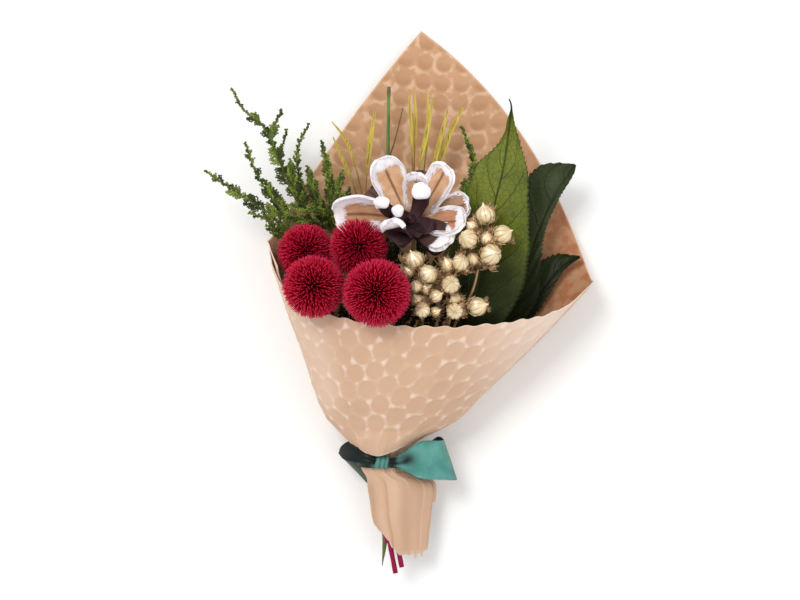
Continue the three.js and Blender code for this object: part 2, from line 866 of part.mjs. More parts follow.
// ---- broad leaves ----
// A leaf: the line of its midrib, the way its face looks, and its widths left and right of the midrib.
const broadLeaves = {
  front: {
    slot: [1, 0],
    via: [[6, -40, 15]],
    rib: [
      [18, -22, 21],
      [24, -15, 24],
      [29.5, -8.8, 27.5],
      [34.6, 8.8, 32],
      [37.8, 26.1, 35.5],
      [41.3, 42.4, 38.5],
      [44.9, 57.6, 40.5],
      [48.2, 84, 42],
    ],
    face: [-0.28, 0.05, 1],
    widths: [
      [0, 0.6, 0.6],
      [0.12, 7, 8.4],
      [0.24, 12, 16.6],
      [0.36, 15, 19.6],
      [0.5, 15.4, 18.2],
      [0.66, 13, 13.9],
      [0.78, 10.6, 10.4],
      [0.88, 3.4, 6],
      [0.95, 0.9, 2.6],
      [1, 0.4, 0.4],
    ],
  },
  middle: {
    slot: [1.5, -1],
    via: [[12, -42, 8.6], [30, -30, 10]],
    rib: [
      [38, -21, 12.4],
      [46.6, -9, 16],
      [55, 11, 19],
      [60.7, 28.8, 22],
      [68.7, 46.6, 23.6],
      [77.6, 60, 24.4],
    ],
    face: [-0.24, 0, 1],
    widths: [
      [0, 0.6, 0.6],
      [0.14, 8, 5.6],
      [0.32, 14, 10.4],
      [0.5, 15.4, 8],
      [0.66, 14.6, 5.2],
      [0.8, 12.6, 4.4],
      [0.91, 7, 3.2],
      [1, 0.5, 0.5],
    ],
  },
  back: {
    slot: [1, -2],
    via: [[12, -42, 4.6], [32, -30, 6.2]],
    rib: [[43, -21.7, 8.4], [55.1, -8.1, 12], [63.9, 4.5, 13.4], [71.8, 14.4, 15], [80.3, 19.3, 18.4]],
    face: [-0.5, 0.1, 1],
    widths: [
      [0, 0.6, 0.6],
      [0.2, 6.4, 3.6],
      [0.42, 10, 4.6],
      [0.64, 10.6, 4],
      [0.82, 7.4, 2.6],
      [0.93, 3, 1.2],
      [1, 0.5, 0.5],
    ],
  },
};
const leafShape = { columns: 14, thickness: 0.7, fold: 0.1, wave: 0.7, tooth: 0.05 };

function broadLeaf({ slot, via, rib, face, widths }) {
  const { columns, thickness, fold, wave, tooth } = leafShape;
  const curve = new THREE.CatmullRomCurve3(rib.map((p) => v3(...p)));
  const surface = (u, v) => {
    const [flat, side] = across(curve.getTangentAt(clamp(u, 0, 1)), v3(...face));
    const share = 2 * v - 1;
    const notch = Math.abs(share) > 0.9 ? 1 - tooth * (Math.round(u * columns) % 2) : 1;
    const wide = between(widths, u, share < 0 ? 2 : 1) * notch;
    const lift = fold * wide * share * share + wave * Math.sin(u * 8) * share * share;
    return curve.getPointAt(u).addScaledVector(side, -wide * share).addScaledVector(flat, lift);
  };
  const stalk = stemRoute(slot, [...via, rib[0], curve.getPointAt(0.1).toArray()]);
  return join([blade(columns, 4, thickness, surface), tube(stalk, 1.05, 0.7, 4)]);
}

// ---- golden grass and the green twig ----
// A tuft: its slot, the fork, and its blades as foot, tip, width.
const grassTufts = {
  left: {
    slot: [-1, -2],
    via: [[-10, -34, 4.6], [-15, 10, 4.8]],
    fork: [-16, 36, 8],
    blades: [
      [[-18, 52, 13], [-24, 71, 18], [-30.4, 79.6, 20], 1.4],
      [[-21, 52, 12], [-27, 66, 15], [-30, 73, 17], 1.5],
      [[-15, 56, 12], [-13.4, 70, 15], [-11, 85.6, 17], 2.2],
    ],
  },
  right: {
    slot: [0, -2],
    via: [[-1, -34, 4.4], [5, 10, 4.4]],
    fork: [7, 40, 8],
    blades: [
      [[5.6, 60, 12], [5, 76, 14], [4, 92, 15], 1.5],
      [[6.4, 62, 10], [7, 78, 11], [6.6, 95.6, 11.4], 1.5],
      [[11, 60, 11], [12.4, 76, 12.4], [12.6, 94.6, 12.6], 1.5],
      [[9, 62, 14.4], [11.4, 72, 16], [14.8, 90, 17.6], 2.2],
      [[15, 60, 13], [18, 72, 15.4], [21.4, 85, 17], 2.2],
      [[18, 62, 11.4], [23, 76, 13], [29, 87.6, 14], 2.4],
    ],
  },
};

function grassTuft({ slot, via, fork, blades }) {
  const route = stemRoute(slot, [...via, fork]);
  const stem = new THREE.CatmullRomCurve3(route);
  const pieces = [tube(route, 1, 0.75, 4)];
  blades.forEach(([foot, middle, tip, width], k) => {
    const from = stem.getPointAt(1 - 0.02 * k);
    const curve = new THREE.CatmullRomCurve3([from, v3(...foot), v3(...middle), v3(...tip)]);
    const rings = [];
    for (let i = 0; i <= 6; i++) {
      const u = i / 6;
      const [flat, side] = across(curve.getTangent(u), v3(0, 0, 1));
      const half = (width / 2) * Math.max(0.3, Math.sin(Math.PI * clamp((u - 0.4) / 0.66, 0, 1)));
      const centre = curve.getPoint(u);
      rings.push([
        centre.clone().addScaledVector(flat, 0.7),
        centre.clone().addScaledVector(side, half),
        centre.clone().addScaledVector(side, -half),
      ]);
    }
    pieces.push(loft(rings));
  });
  return join(pieces);
}

const twig = {
  slot: [0, 0],
  via: [[-8, -34, 11.6], [-8, 0, 12], [-6, 40, 12]],
  top: [-5, 95.6, 15],
  side: [[-4.6, 66, 12.6], [-1, 76, 14.6], [1.4, 86, 15.4]],
  radius: 1.15,
};

function greenTwig() {
  const route = stemRoute(twig.slot, [...twig.via, twig.top]);
  return join([
    tube(route, twig.radius, 0.7, 6),
    tube(twig.side.map((p) => v3(...p)), 0.5, 0.35, 4),
  ]);
}

// ---- the group ----
const finishes = {
  kraft: { color: 0xc69c76, roughness: 0.7 },
  satin: { color: 0x2f6f64, roughness: 0.4 },
  thread: { color: 0xb9a27c, roughness: 0.9 },
  crimson: { color: 0xa00f38, roughness: 0.75 },
  conewood: { color: 0xa8713f, roughness: 0.8 },
  pickwood: { color: 0x8a6a48, roughness: 0.8 },
  gold: { color: 0xc9a86a, roughness: 0.35, metalness: 0.8 },
  cedar: { color: 0x3f5f23, roughness: 0.7 },
  leaf: { color: 0x3a5a22, roughness: 0.55 },
  grass: { color: 0xb79a34, roughness: 0.5, metalness: 0.3 },
  twig: { color: 0x4f7136, roughness: 0.7 },
};

const bouquet = new THREE.Group();

function place(name, geometry, finish) {
  const mesh = new THREE.Mesh(geometry, new THREE.MeshStandardMaterial(finishes[finish]));
  mesh.name = name;
  bouquet.add(mesh);
}

place("paper_wrap", paperWrap(), "kraft");
place("ribbon_bow", ribbonBow(), "satin");
place("binding_thread", hoop(threadTurns), "thread");
Object.entries(spikyHeads).forEach(([name, head], i) => {
  place(`spiky_head_${name}`, spikyHead(head, 11 + i), "crimson");
});
place("pine_cone", pineCone(), "conewood");
place("cone_pick", conePick(), "pickwood");
for (const [name, spray] of Object.entries(podSprays)) place(`pod_spray_${name}`, podSpray(spray), "gold");
for (const [name, spray] of Object.entries(cedarSprays)) place(`cedar_${name}`, cedarSpray(spray), "cedar");
for (const [name, leaf] of Object.entries(broadLeaves)) place(`leaf_${name}`, broadLeaf(leaf), "leaf");
for (const [name, tuft] of Object.entries(grassTufts)) place(`grass_${name}`, grassTuft(tuft), "grass");
place("green_twig", greenTwig(), "twig");

export default bouquet;
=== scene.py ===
import math
import random

import bpy
import numpy as np
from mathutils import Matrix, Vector


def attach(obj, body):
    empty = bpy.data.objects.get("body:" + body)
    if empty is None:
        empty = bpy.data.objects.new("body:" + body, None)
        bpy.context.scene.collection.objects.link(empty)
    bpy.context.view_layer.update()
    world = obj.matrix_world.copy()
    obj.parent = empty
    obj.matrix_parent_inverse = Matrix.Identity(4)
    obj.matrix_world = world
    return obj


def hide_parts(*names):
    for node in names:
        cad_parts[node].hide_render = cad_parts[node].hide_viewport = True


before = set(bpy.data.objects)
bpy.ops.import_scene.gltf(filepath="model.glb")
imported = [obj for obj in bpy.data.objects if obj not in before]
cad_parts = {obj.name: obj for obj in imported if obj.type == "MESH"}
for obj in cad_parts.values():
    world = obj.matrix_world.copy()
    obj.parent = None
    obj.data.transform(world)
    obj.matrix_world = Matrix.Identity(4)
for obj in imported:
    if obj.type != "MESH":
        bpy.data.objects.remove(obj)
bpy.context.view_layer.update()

# A small mixed bouquet in a cone of embossed kraft paper, lying on its back. Shapes are worked out in
# millimetres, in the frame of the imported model, and become metres when a mesh is made.
mm = 0.001
print("frame loaded")

# ---- camera, floor and light ----
view = {"height": 812, "lens": 80, "sensor": 36}
camera = bpy.data.objects.new("camera", bpy.data.cameras.new("camera"))
camera.data.lens = view["lens"]
camera.data.sensor_width = view["sensor"]
camera.location = (0, 0, view["height"] * mm)
bpy.context.scene.collection.objects.link(camera)
bpy.context.scene.camera = camera
bpy.context.scene.view_settings.view_transform = "Standard"


def srgb(red, green, blue):
    shares = [c / 255 for c in (red, green, blue)]
    return [s / 12.92 if s <= 0.04045 else ((s + 0.055) / 1.055) ** 2.4 for s in shares] + [1]


studio = {
    "floorSize": 3,
    "floorColour": srgb(252, 252, 251),
    "skyStrength": 0.72,
    "lamps": [
        # name, place, size and power
        ["keyLamp", (-0.7, 0.75, 1.75), 0.7, 17],
        ["fillLamp", (1.2, -0.4, 1.5), 1.4, 6],
    ],
}


def buildStudio():
    half = studio["floorSize"] / 2
    mesh = bpy.data.meshes.new("floor")
    corners = [(-half, -half, 0), (half, -half, 0), (half, half, 0), (-half, half, 0)]
    mesh.from_pydata(corners, [], [(0, 1, 2, 3)])
    floor = bpy.data.objects.new("floor", mesh)
    bpy.context.scene.collection.objects.link(floor)
    paint = bpy.data.materials.new("floorPaint")
    paint.use_nodes = True
    shader = paint.node_tree.nodes["Principled BSDF"]
    shader.inputs["Base Color"].default_value = studio["floorColour"]
    shader.inputs["Roughness"].default_value = 0.9
    mesh.materials.append(paint)
    world = bpy.data.worlds.new("studioSky")
    world.use_nodes = True
    world.node_tree.nodes["Background"].inputs["Strength"].default_value = studio["skyStrength"]
    world.node_tree.nodes["Background"].inputs["Color"].default_value = (1, 1, 1, 1)
    bpy.context.scene.world = world
    for name, place, size, power in studio["lamps"]:
        lamp = bpy.data.lights.new(name, "AREA")
        lamp.size = size
        lamp.energy = power
        lampObject = bpy.data.objects.new(name, lamp)
        lampObject.location = place
        lampObject.rotation_euler = (-Vector(place)).to_track_quat("-Z", "Y").to_euler()
        bpy.context.scene.collection.objects.link(lampObject)


buildStudio()
print("studio ready")


# ---- lines and surfaces ----
def between(table, place, column):
    # a smooth value between the stations of a table whose first column is the place
    rows = np.asarray(table, dtype=float)
    x, y = rows[:, 0], rows[:, column]
    last = len(x) - 1
    before = np.maximum(np.arange(last + 1) - 1, 0)
    after = np.minimum(np.arange(last + 1) + 1, last)
    slope = (y[after] - y[before]) / (x[after] - x[before])
    high = np.clip(np.searchsorted(x, place), 1, last)
    low = high - 1
    span = x[high] - x[low]
    s = np.clip((place - x[low]) / span, 0, 1)
    ends = y[low] * (2 * s**3 - 3 * s**2 + 1) + y[high] * (3 * s**2 - 2 * s**3)
    return ends + span * (slope[low] * (s**3 - 2 * s**2 + s) + slope[high] * (s**3 - s**2))


def smoothstep(x, low, high):
    s = np.clip((x - low) / (high - low), 0, 1)
    return s * s * (3 - 2 * s)


def unit(a):
    return a / np.maximum(np.linalg.norm(a, axis=-1, keepdims=True), 1e-9)


def splinePoint(points, t):
    # a point of the smooth line through all points, t from 0 to 1
    last = len(points) - 1
    place = min(max(t, 0), 1) * last
    k = min(int(place), last - 1)
    w = place - k
    b, c = points[k], points[k + 1]
    a = points[k - 1] if k else 2 * b - c
    d = points[k + 2] if k + 2 <= last else 2 * c - b
    ab, bc, cd = [math.sqrt(np.linalg.norm(q - p)) for p, q in ((a, b), (b, c), (c, d))]
    start = bc * ((b - a) / ab - (c - a) / (ab + bc) + (c - b) / bc)
    end = bc * ((c - b) / bc - (d - b) / (bc + cd) + (d - c) / cd)
    ends = b * (2 * w**3 - 3 * w**2 + 1) + c * (3 * w**2 - 2 * w**3)
    return ends + start * (w**3 - 2 * w**2 + w) + end * (w**3 - w**2)


def distances(line):
    # the distance along a line of each of its points
    return np.concatenate([[0], np.cumsum(np.linalg.norm(np.diff(line, axis=0), axis=1))])


def smoothLine(points, count):
    # that many points, evenly spaced along the smooth line
    points = [np.asarray(p, dtype=float) for p in points]
    fine = 16 * (len(points) - 1)
    dense = np.array([splinePoint(points, i / fine) for i in range(fine + 1)])
    length = distances(dense)
    places = np.linspace(0, length[-1], count)
    return np.stack([np.interp(places, length, dense[:, k]) for k in range(3)], axis=1)


def lineLength(line):
    return np.linalg.norm(np.diff(line, axis=0), axis=1).sum()


def across(along, wish):
    # two directions across a line, the first as near to the wish as it can be
    along = unit(np.asarray(along, dtype=float))
    wish = np.asarray(wish, dtype=float)
    side = unit(wish - along * np.sum(along * wish, axis=-1, keepdims=True))
    return side, np.cross(along, side)


def sweep(line, side, offset, up, lift):
    # a grid of points, each row moved from its point of the line by the offsets and lifts
    return line[:, None] + side[:, None] * offset[..., None] + up[:, None] * lift[..., None]


def evenTurns(count):
    return np.linspace(0, 2 * math.pi, count, endpoint=False)


def tubeFaces(rings, sides):
    # the faces of a row of rings, closed at both ends
    faces = []
    for i in range(rings - 1):
        for k in range(sides):
            a, b = i * sides + k, i * sides + (k + 1) % sides
            faces.append((a, b, b + sides, a + sides))
    faces.append(tuple(reversed(range(sides))))
    faces.append(tuple((rings - 1) * sides + k for k in range(sides)))
    return faces


def gridFaces(index):
    # the faces of a grid of point numbers
    corners = [index[:-1, :-1], index[1:, :-1], index[1:, 1:], index[:-1, 1:]]
    return np.stack(corners, axis=-1).reshape(-1, 4)


class Shape:
    # points, edges, faces and point attributes gathered for one mesh
    def __init__(self):
        self.points = []
        self.edges = []
        self.faces = []
        self.values = []
        self.count = 0

    def add(self, points, faces, edges=(), **values):
        points = np.asarray(points, dtype=float).reshape(-1, 3)
        flat = {name: np.asarray(value, dtype=float).reshape(-1) for name, value in values.items()}
        spread = {name: np.broadcast_to(value, (len(points),)) for name, value in flat.items()}
        self.values.append((len(points), spread))
        self.points.append(points)
        self.edges += [(self.count + a, self.count + b) for a, b in edges]
        self.faces += [tuple(self.count + k for k in face) for face in faces]
        self.count += len(points)

    def attribute(self, name):
        # a value that a part of the shape doesn't have is 0 there
        return np.concatenate([spread.get(name, np.zeros(count)) for count, spread in self.values])


def makePiece(name, shape, *materials):
    mesh = bpy.data.meshes.new(name)
    mesh.from_pydata(np.concatenate(shape.points) * mm, shape.edges, shape.faces)
    for key in sorted({name for _, spread in shape.values for name in spread}):
        attribute = mesh.attributes.new(key, "FLOAT", "POINT")
        attribute.data.foreach_set("value", shape.attribute(key))
    for material in materials:
        mesh.materials.append(material)
    mesh.shade_smooth()
    piece = bpy.data.objects.new(name, mesh)
    bpy.context.scene.collection.objects.link(piece)
    return piece


def storeVectors(piece, name, vectors):
    attribute = piece.data.attributes.new(name, "FLOAT_VECTOR", "POINT")
    attribute.data.foreach_set("vector", np.array(vectors).reshape(-1))


def addTube(shape, line, radius, sides, **values):
    # a round tube along a line, closed at both ends, with one radius or one for each point
    radius = np.broadcast_to(np.asarray(radius, dtype=float), (len(line),))
    along = unit(np.gradient(line, axis=0))
    side, other = across(along, [1, 0.02, 0.03])
    turn = evenTurns(sides)
    points = sweep(line, side, radius[:, None] * np.cos(turn), other, radius[:, None] * np.sin(turn))
    spread = {key: np.repeat(value, sides) if np.ndim(value) else value for key, value in values.items()}
    shape.add(points, tubeFaces(len(line), sides), **spread)


def addBlade(shape, grid, thickness, **values):
    # a closed thin sheet about a grid of points, with one thickness or one for each point
    columns, rows = grid.shape[0] - 1, grid.shape[1] - 1
    normal = unit(np.cross(np.gradient(grid, axis=0), np.gradient(grid, axis=1)))
    half = np.broadcast_to(np.asarray(thickness, dtype=float) / 2, grid.shape[:2])[..., None]
    points = np.concatenate([(grid + normal * half).reshape(-1, 3), (grid - normal * half).reshape(-1, 3)])
    # the lower face has the same points again, so their numbers go up by as many
    under = (columns + 1) * (rows + 1)
    index = np.arange(under).reshape(columns + 1, rows + 1)
    top = gridFaces(index)
    faces = np.concatenate([top, top[:, ::-1] + under])
    edges = np.concatenate([
        np.stack([index[1:, 0], index[:-1, 0]], axis=1),
        np.stack([index[:-1, -1], index[1:, -1]], axis=1),
        np.stack([index[0, :-1], index[0, 1:]], axis=1),
        np.stack([index[-1, 1:], index[-1, :-1]], axis=1),
    ])
    wall = np.stack([edges[:, 1], edges[:, 1] + under, edges[:, 0] + under, edges[:, 0]], axis=1)[:, ::-1]
    faces = [tuple(f) for f in np.concatenate([faces, wall]).tolist()]
    flat = {key: np.broadcast_to(value, grid.shape[:2]).reshape(-1) for key, value in values.items()}
    spread = {key: np.tile(value, 2) for key, value in flat.items()}
    shape.add(points, faces, **spread)


def settle(piece, slot, *nodes):
    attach(piece, "root")
    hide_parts(*nodes)


# ---- stems ----
stems = {"neck": (-7.2, -70, 12), "straight": 8, "pitch": 2.75, "drift": 5.7, "end": -109, "spacing": 2.2}


def slotPoint(slot, y):
    # the bundle's slots stand in rows like stacked pipes
    rise = slot[1] * stems["pitch"] * math.sin(math.radians(60))
    return np.array([stems["neck"][0] + slot[0] * stems["pitch"], y, stems["neck"][2] + rise])


def stemLine(slot, upper, lower=None):
    neckY, straight = stems["neck"][1], stems["straight"]
    cut = list(lower or [slotPoint(slot, stems["end"]) + [stems["drift"], 0, 0]])
    route = cut + [slotPoint(slot, neckY - straight), slotPoint(slot, neckY + straight)] + list(upper)
    count = int(lineLength(np.array(route, dtype=float)) / stems["spacing"])
    return smoothLine(route, count)


# ---- node helpers ----
class Value:
    # an output of a node, with the sums that lead to further nodes
    def __init__(self, socket):
        self.socket = socket
        self.tree = socket.id_data

    def __add__(self, other):
        return maths("ADD", self, other)

    def __sub__(self, other):
        return maths("SUBTRACT", self, other)

    def __rsub__(self, other):
        return maths("SUBTRACT", other, self)

    def __mul__(self, other):
        return maths("MULTIPLY", self, other)

    def __truediv__(self, other):
        return maths("DIVIDE", self, other)


def addNode(tree, kind, inputs=None, **settings):
    node = tree.nodes.new(kind)
    for key, value in settings.items():
        setattr(node, key, value)
    for key, value in (inputs or {}).items():
        if isinstance(value, Value):
            tree.links.new(value.socket, node.inputs[key])
        else:
            node.inputs[key].default_value = value
    return node


def make(tree, kind, inputs=None, output=0, **settings):
    return Value(addNode(tree, kind, inputs, **settings).outputs[output])


def plug(value, socket):
    value.tree.links.new(value.socket, socket)


def maths(operation, *values):
    tree = next(value.tree for value in values if isinstance(value, Value))
    return make(tree, "ShaderNodeMath", dict(enumerate(values)), operation=operation)


def vectorMaths(operation, first, second):
    tree = next(value.tree for value in (first, second) if isinstance(value, Value))
    key = "Scale" if operation == "SCALE" else 1
    return make(tree, "ShaderNodeVectorMath", {0: first, key: second}, operation=operation)


def combine(x, y, z):
    tree = next(value.tree for value in (x, y, z) if isinstance(value, Value))
    return make(tree, "ShaderNodeCombineXYZ", {0: x, 1: y, 2: z})


def ramp(value, low, high, toLow=0, toHigh=1):
    limits = {"Value": value, "From Min": low, "From Max": high, "To Min": toLow, "To Max": toHigh}
    return make(value.tree, "ShaderNodeMapRange", limits, "Result", interpolation_type="SMOOTHSTEP")


def blend(factor, first, second):
    # a colour is a node's output or red, green and blue out of 255
    first, second = [colour if isinstance(colour, Value) else srgb(*colour) for colour in (first, second)]
    return make(factor.tree, "ShaderNodeMix", {0: factor, 6: first, 7: second}, 2, data_type="RGBA")


def readValue(tree, name):
    return make(tree, "ShaderNodeAttribute", output="Fac", attribute_name=name)


def objectPlace(tree):
    return make(tree, "ShaderNodeTexCoord", output="Object")


def noise(place, scale, detail):
    return make(place.tree, "ShaderNodeTexNoise", {"Vector": place, "Scale": scale, "Detail": detail})


def newGroup(name, inputs, outputs, kind="ShaderNodeTree"):
    kinds = {float: "Float", int: "Int", tuple: "Vector", type(None): "Geometry"}
    tree = bpy.data.node_groups.new(name, kind)
    for label, value in inputs.items():
        socketKind = "NodeSocket" + kinds[type(value)]
        socket = tree.interface.new_socket(label, in_out="INPUT", socket_type=socketKind)
        if value is not None:
            socket.default_value = value
    for label in outputs:
        socketKind = "NodeSocketGeometry" if label == "Geometry" else "NodeSocketFloat"
        tree.interface.new_socket(label, in_out="OUTPUT", socket_type=socketKind)
    sockets = tree.nodes.new("NodeGroupInput").outputs
    start = {label: Value(sockets[label]) for label in inputs}
    return tree, start, tree.nodes.new("NodeGroupOutput").inputs


# ---- shader groups ----
def mottleGroup():
    # blotches and fine specks over a surface, for every plant and paper finish
    tree, start, end = newGroup("mottle", {"Coarse": 200.0, "Fine": 1500.0}, ["Blotch", "Speck", "Height"])
    place = objectPlace(tree)
    coarse = noise(place, start["Coarse"], 4)
    fine = noise(place, start["Fine"], 3)
    plug(ramp(coarse, 0.3, 0.7), end["Blotch"])
    plug(ramp(fine, 0.35, 0.65), end["Speck"])
    plug(coarse * 0.6 + fine * 0.4, end["Height"])
    return tree


def fibreGroup():
    # long thin streaks along one direction, for paper, wood, grass and ribbon
    tree, start, end = newGroup("fibre", {"Stretch": (1.0, 1.0, 1.0), "Scale": 1000.0}, ["Streak", "Height"])
    streaks = noise(vectorMaths("MULTIPLY", objectPlace(tree), start["Stretch"]), start["Scale"], 5)
    plug(ramp(streaks, 0.38, 0.66), end["Streak"])
    plug(streaks, end["Height"])
    return tree


# the side veins: how far they curve forward, how sharply, and how far those of one half are shifted
veinRule = {"bend": 0.22, "curve": 1.3, "shift": 0.4}


def leafVeinGroup():
    # side veins that curve forward from the midrib, and the fine net between them
    sizes = {"Pairs": 8.0, "Bend": 0.2, "Length": 0.1, "Net": 420.0}
    tree, start, end = newGroup("leafVeins", sizes, ["Vein", "Web", "Along"])
    along, across, span = [readValue(tree, key) for key in ("along", "across", "span")]
    place = objectPlace(tree)
    share = maths("ABSOLUTE", across)
    side = maths("LESS_THAN", across, 0) * veinRule["shift"]
    bend = maths("POWER", share, veinRule["curve"]) * start["Bend"]
    phase = (along - bend) * start["Pairs"] + side + noise(place, 110, 2) * 0.5
    gap = maths("ABSOLUTE", maths("FRACT", phase) - 0.5) * start["Length"] / start["Pairs"]
    line = ramp(gap, 0.0001, 0.0004, 1, 0) * ramp(share, 0.72, 0.98, 1, 0)
    rib = ramp(share * span, 0.25, 0.62, 1, 0)
    net = {"Vector": place, "Scale": start["Net"]}
    cells = make(tree, "ShaderNodeTexVoronoi", net, "Distance", feature="DISTANCE_TO_EDGE")
    plug(maths("MAXIMUM", line, rib), end["Vein"])
    plug(ramp(cells, 0, 0.12, 1, 0), end["Web"])
    plug(along, end["Along"])
    return tree


mottle, fibre, leafVeins = mottleGroup(), fibreGroup(), leafVeinGroup()


def useGroup(tree, group, **values):
    node = addNode(tree, "ShaderNodeGroup", node_tree=group)
    for key, value in values.items():
        node.inputs[key].default_value = value
    return {socket.name: Value(socket) for socket in node.outputs}


class Finish:
    # a material with its Principled shader and the two shared groups at the scales given
    def __init__(self, name, coarse, fine, stretch=(1, 1, 1), fibreScale=1000):
        self.material = bpy.data.materials.new(name)
        self.material.use_nodes = True
        self.tree = self.material.node_tree
        surface = useGroup(self.tree, mottle, Coarse=coarse, Fine=fine)
        self.blotch, self.speck, self.grain = surface["Blotch"], surface["Speck"], surface["Height"]
        surface = useGroup(self.tree, fibre, Stretch=stretch, Scale=fibreScale)
        self.streak, self.thread = surface["Streak"], surface["Height"]

    def read(self, name):
        return readValue(self.tree, name)

    def coat(self, colour, **tones):
        # lays each tone over the colour where the value of that name says
        for name, tone in tones.items():
            colour = blend(self.read(name), colour, tone)
        return colour

    def dress(self, colour, rough, height, depth, strength=1, roughBy=None, **values):
        # rough holds the roughness at 0 and at 1 of roughBy, the specks if nothing else is given
        inputs = self.tree.nodes["Principled BSDF"].inputs
        bump = {"Height": height, "Distance": depth * mm, "Strength": strength}
        plug(colour, inputs["Base Color"])
        plug(ramp(roughBy or self.speck, 0, 1, *rough), inputs["Roughness"])
        plug(make(self.tree, "ShaderNodeBump", bump), inputs["Normal"])
        for key, value in values.items():
            inputs[key.replace("_", " ")].default_value = value
        return self.material


# ---- finishes ----
emboss = {
    "Column spacing": 7.4 * mm,
    "Row spacing": 9.0 * mm,
    "Grid width": 10.3 * mm,
    "Grid height": 8.8 * mm,
    "Depth": 0.42 * mm,
}


def embossField(flatX, flatY, stagger, sizes):
    # 1 on the raised network, 0 in the cells: staggered cells at the front, round ones in rows on the back
    column = flatX / sizes["Column spacing"] * (2 * math.pi)
    row = flatY / sizes["Row spacing"] * (2 * math.pi)
    cells = maths("COSINE", column * 0.5) * maths("COSINE", row) * 2 + maths("COSINE", column)
    edges = ramp(cells, -1, -0.7, 0.34, 0) + ramp(cells, -1, 1.4, 0.22, 0)
    staggered = edges + ramp(cells, -1.5, -1.06, 0.4, 0)
    across, down = flatX / sizes["Grid width"], flatY / sizes["Grid height"]
    across, down = [maths("FRACT", part + 0.5) - 0.5 for part in (across, down)]
    rounded = ramp(maths("SQRT", across * across + down * down), 0.25, 0.56)
    return staggered * stagger + rounded * (1 - stagger)


def kraftFinish(name, base, shade, light, paintedCellShadeShare, ridgeHighlightShare, warmShare):
    finish = Finish(name, 60, 1600, (1, 0.35, 1), 2600)
    flatX, flatY, stagger, strength = [finish.read(key) for key in ("flatX", "flatY", "stagger", "strength")]
    field = embossField(flatX, flatY, stagger, emboss)
    broken = ramp(noise(objectPlace(finish.tree), 210, 3), 0.4, 0.6, 0.25, 1)
    ridge = field * strength * broken
    # painted shade: the lower half of a cell on the back is the darker one
    shadedLowerHalf = maths("SINE", flatY / emboss["Grid height"] * (2 * math.pi)) * -0.5 + 0.6
    paintedCellShade = ramp(field, 0, 0.9, paintedCellShadeShare, 0) * strength * maths("MAXIMUM", shadedLowerHalf, stagger)
    colour = blend(finish.blotch * 0.25, base, shade)
    # painted shade in the embossed cells
    colour = blend(paintedCellShade, colour, shade)
    # painted highlight along the raised ridges
    colour = blend(ramp(ridge, 0.25, 0.95, 0, ridgeHighlightShare), colour, light)
    colour = blend(finish.streak * 0.12, colour, shade)
    # painted light on the right part of the front and a little on its left, and painted shade in strips down
    # the tail
    colour = finish.coat(colour, pale=light, dusk=(182, 144, 114))
    colour = blend(finish.read("warm") * warmShare * broken, colour, (178, 104, 64))
    # lighter cut edges, and a painted highlight along the fold of the lip
    colour = finish.coat(colour, rimEdge=light)
    height = finish.thread * 0.14 + ridge * 0.5
    return finish.dress(colour, (0.6, 0.78), height, 0.4, 0.7, Specular_IOR_Level=0.3)


def satinFinish():
    finish = Finish("satinTeal", 140, 2600, (1, 1, 1), 3000)
    colour = blend(finish.blotch, (72, 136, 127), (96, 158, 149))
    # inner lays painted shade, near black, inside the loops, in the knot's creases and over the turn round
    # the neck
    colour = finish.coat(colour, dull=(98, 116, 106), inner=(10, 22, 20))
    shine = {"Sheen_Weight": 0.03, "Sheen_Roughness": 0.4, "Specular_IOR_Level": 0.24}
    return finish.dress(colour, (0.42, 0.52), finish.grain, 0.04, 0.3, **shine)


def threadFinish():
    finish = Finish("threadJute", 300, 2400, (1, 1, 1), 2400)
    colour = blend(finish.speck, (190, 166, 126), (150, 124, 86))
    return finish.dress(colour, (0.8, 0.95), finish.grain, 0.1)


def crimsonFinish(name, root, middle, tip):
    # painted shade darkens a spine towards its root, low among the other spines, and a painted highlight
    # brightens its tip
    finish = Finish(name, 260, 1800)
    reach = finish.read("reach")
    colour = blend(ramp(reach, 0.1, 0.66), root, middle)
    colour = blend(ramp(reach, 0.8, 1), colour, tip)
    dull = maths("MAXIMUM", finish.read("tint") * 0.3, finish.blotch * 0.15)
    colour = blend(dull, colour, root)
    return finish.dress(colour, (0.42, 0.65), finish.grain, 0.05, 0.5, Specular_IOR_Level=0.18)


def coneFinish():
    finish = Finish("coneScale", 260, 1500, (1, 0.5, 1), 900)
    paint = finish.read("paint")
    brush = noise(combine(finish.read("streakAcross") * 2.2, finish.read("streakAlong") * 0.3, 0), 1, 3)
    stroke = ramp(brush, 0.36, 0.64)
    tan = blend(finish.blotch, (232, 190, 150), (208, 154, 108))
    tan = blend(stroke * 0.45, tan, (236, 200, 160))
    tan = finish.coat(tan, warm=(176, 84, 40), groove=(104, 56, 34))
    maroon = blend(finish.blotch, (64, 28, 34), (36, 14, 20))
    wood = blend(finish.read("dark"), tan, maroon)
    painted = ramp(paint + finish.speck * 0.14 + stroke * 0.62 - 0.38, 0.4, 0.6)
    white = blend(finish.blotch, (255, 253, 254), (244, 236, 242))
    white = blend(ramp(brush, 0.3, 0.5, 0.6, 0), white, (222, 206, 214))
    # thin paint trails off past the solid part in broken strokes
    trail = ramp(paint, 0.02, 0.4) * ramp(brush, 0.42, 0.6, 0.1, 0.75)
    wood = blend(trail, wood, (238, 222, 216))
    height = painted * 0.4 + brush * 0.9 + finish.grain
    return finish.dress(blend(painted, wood, white), (0.66, 0.5), height, 0.35, 0.7, painted)


def pickFinish():
    finish = Finish("pickWood", 160, 1800, (1, 0.08, 1), 900)
    colour = blend(finish.streak, (170, 132, 90), (122, 90, 58))
    return finish.dress(colour, (0.7, 0.85), finish.thread, 0.15)


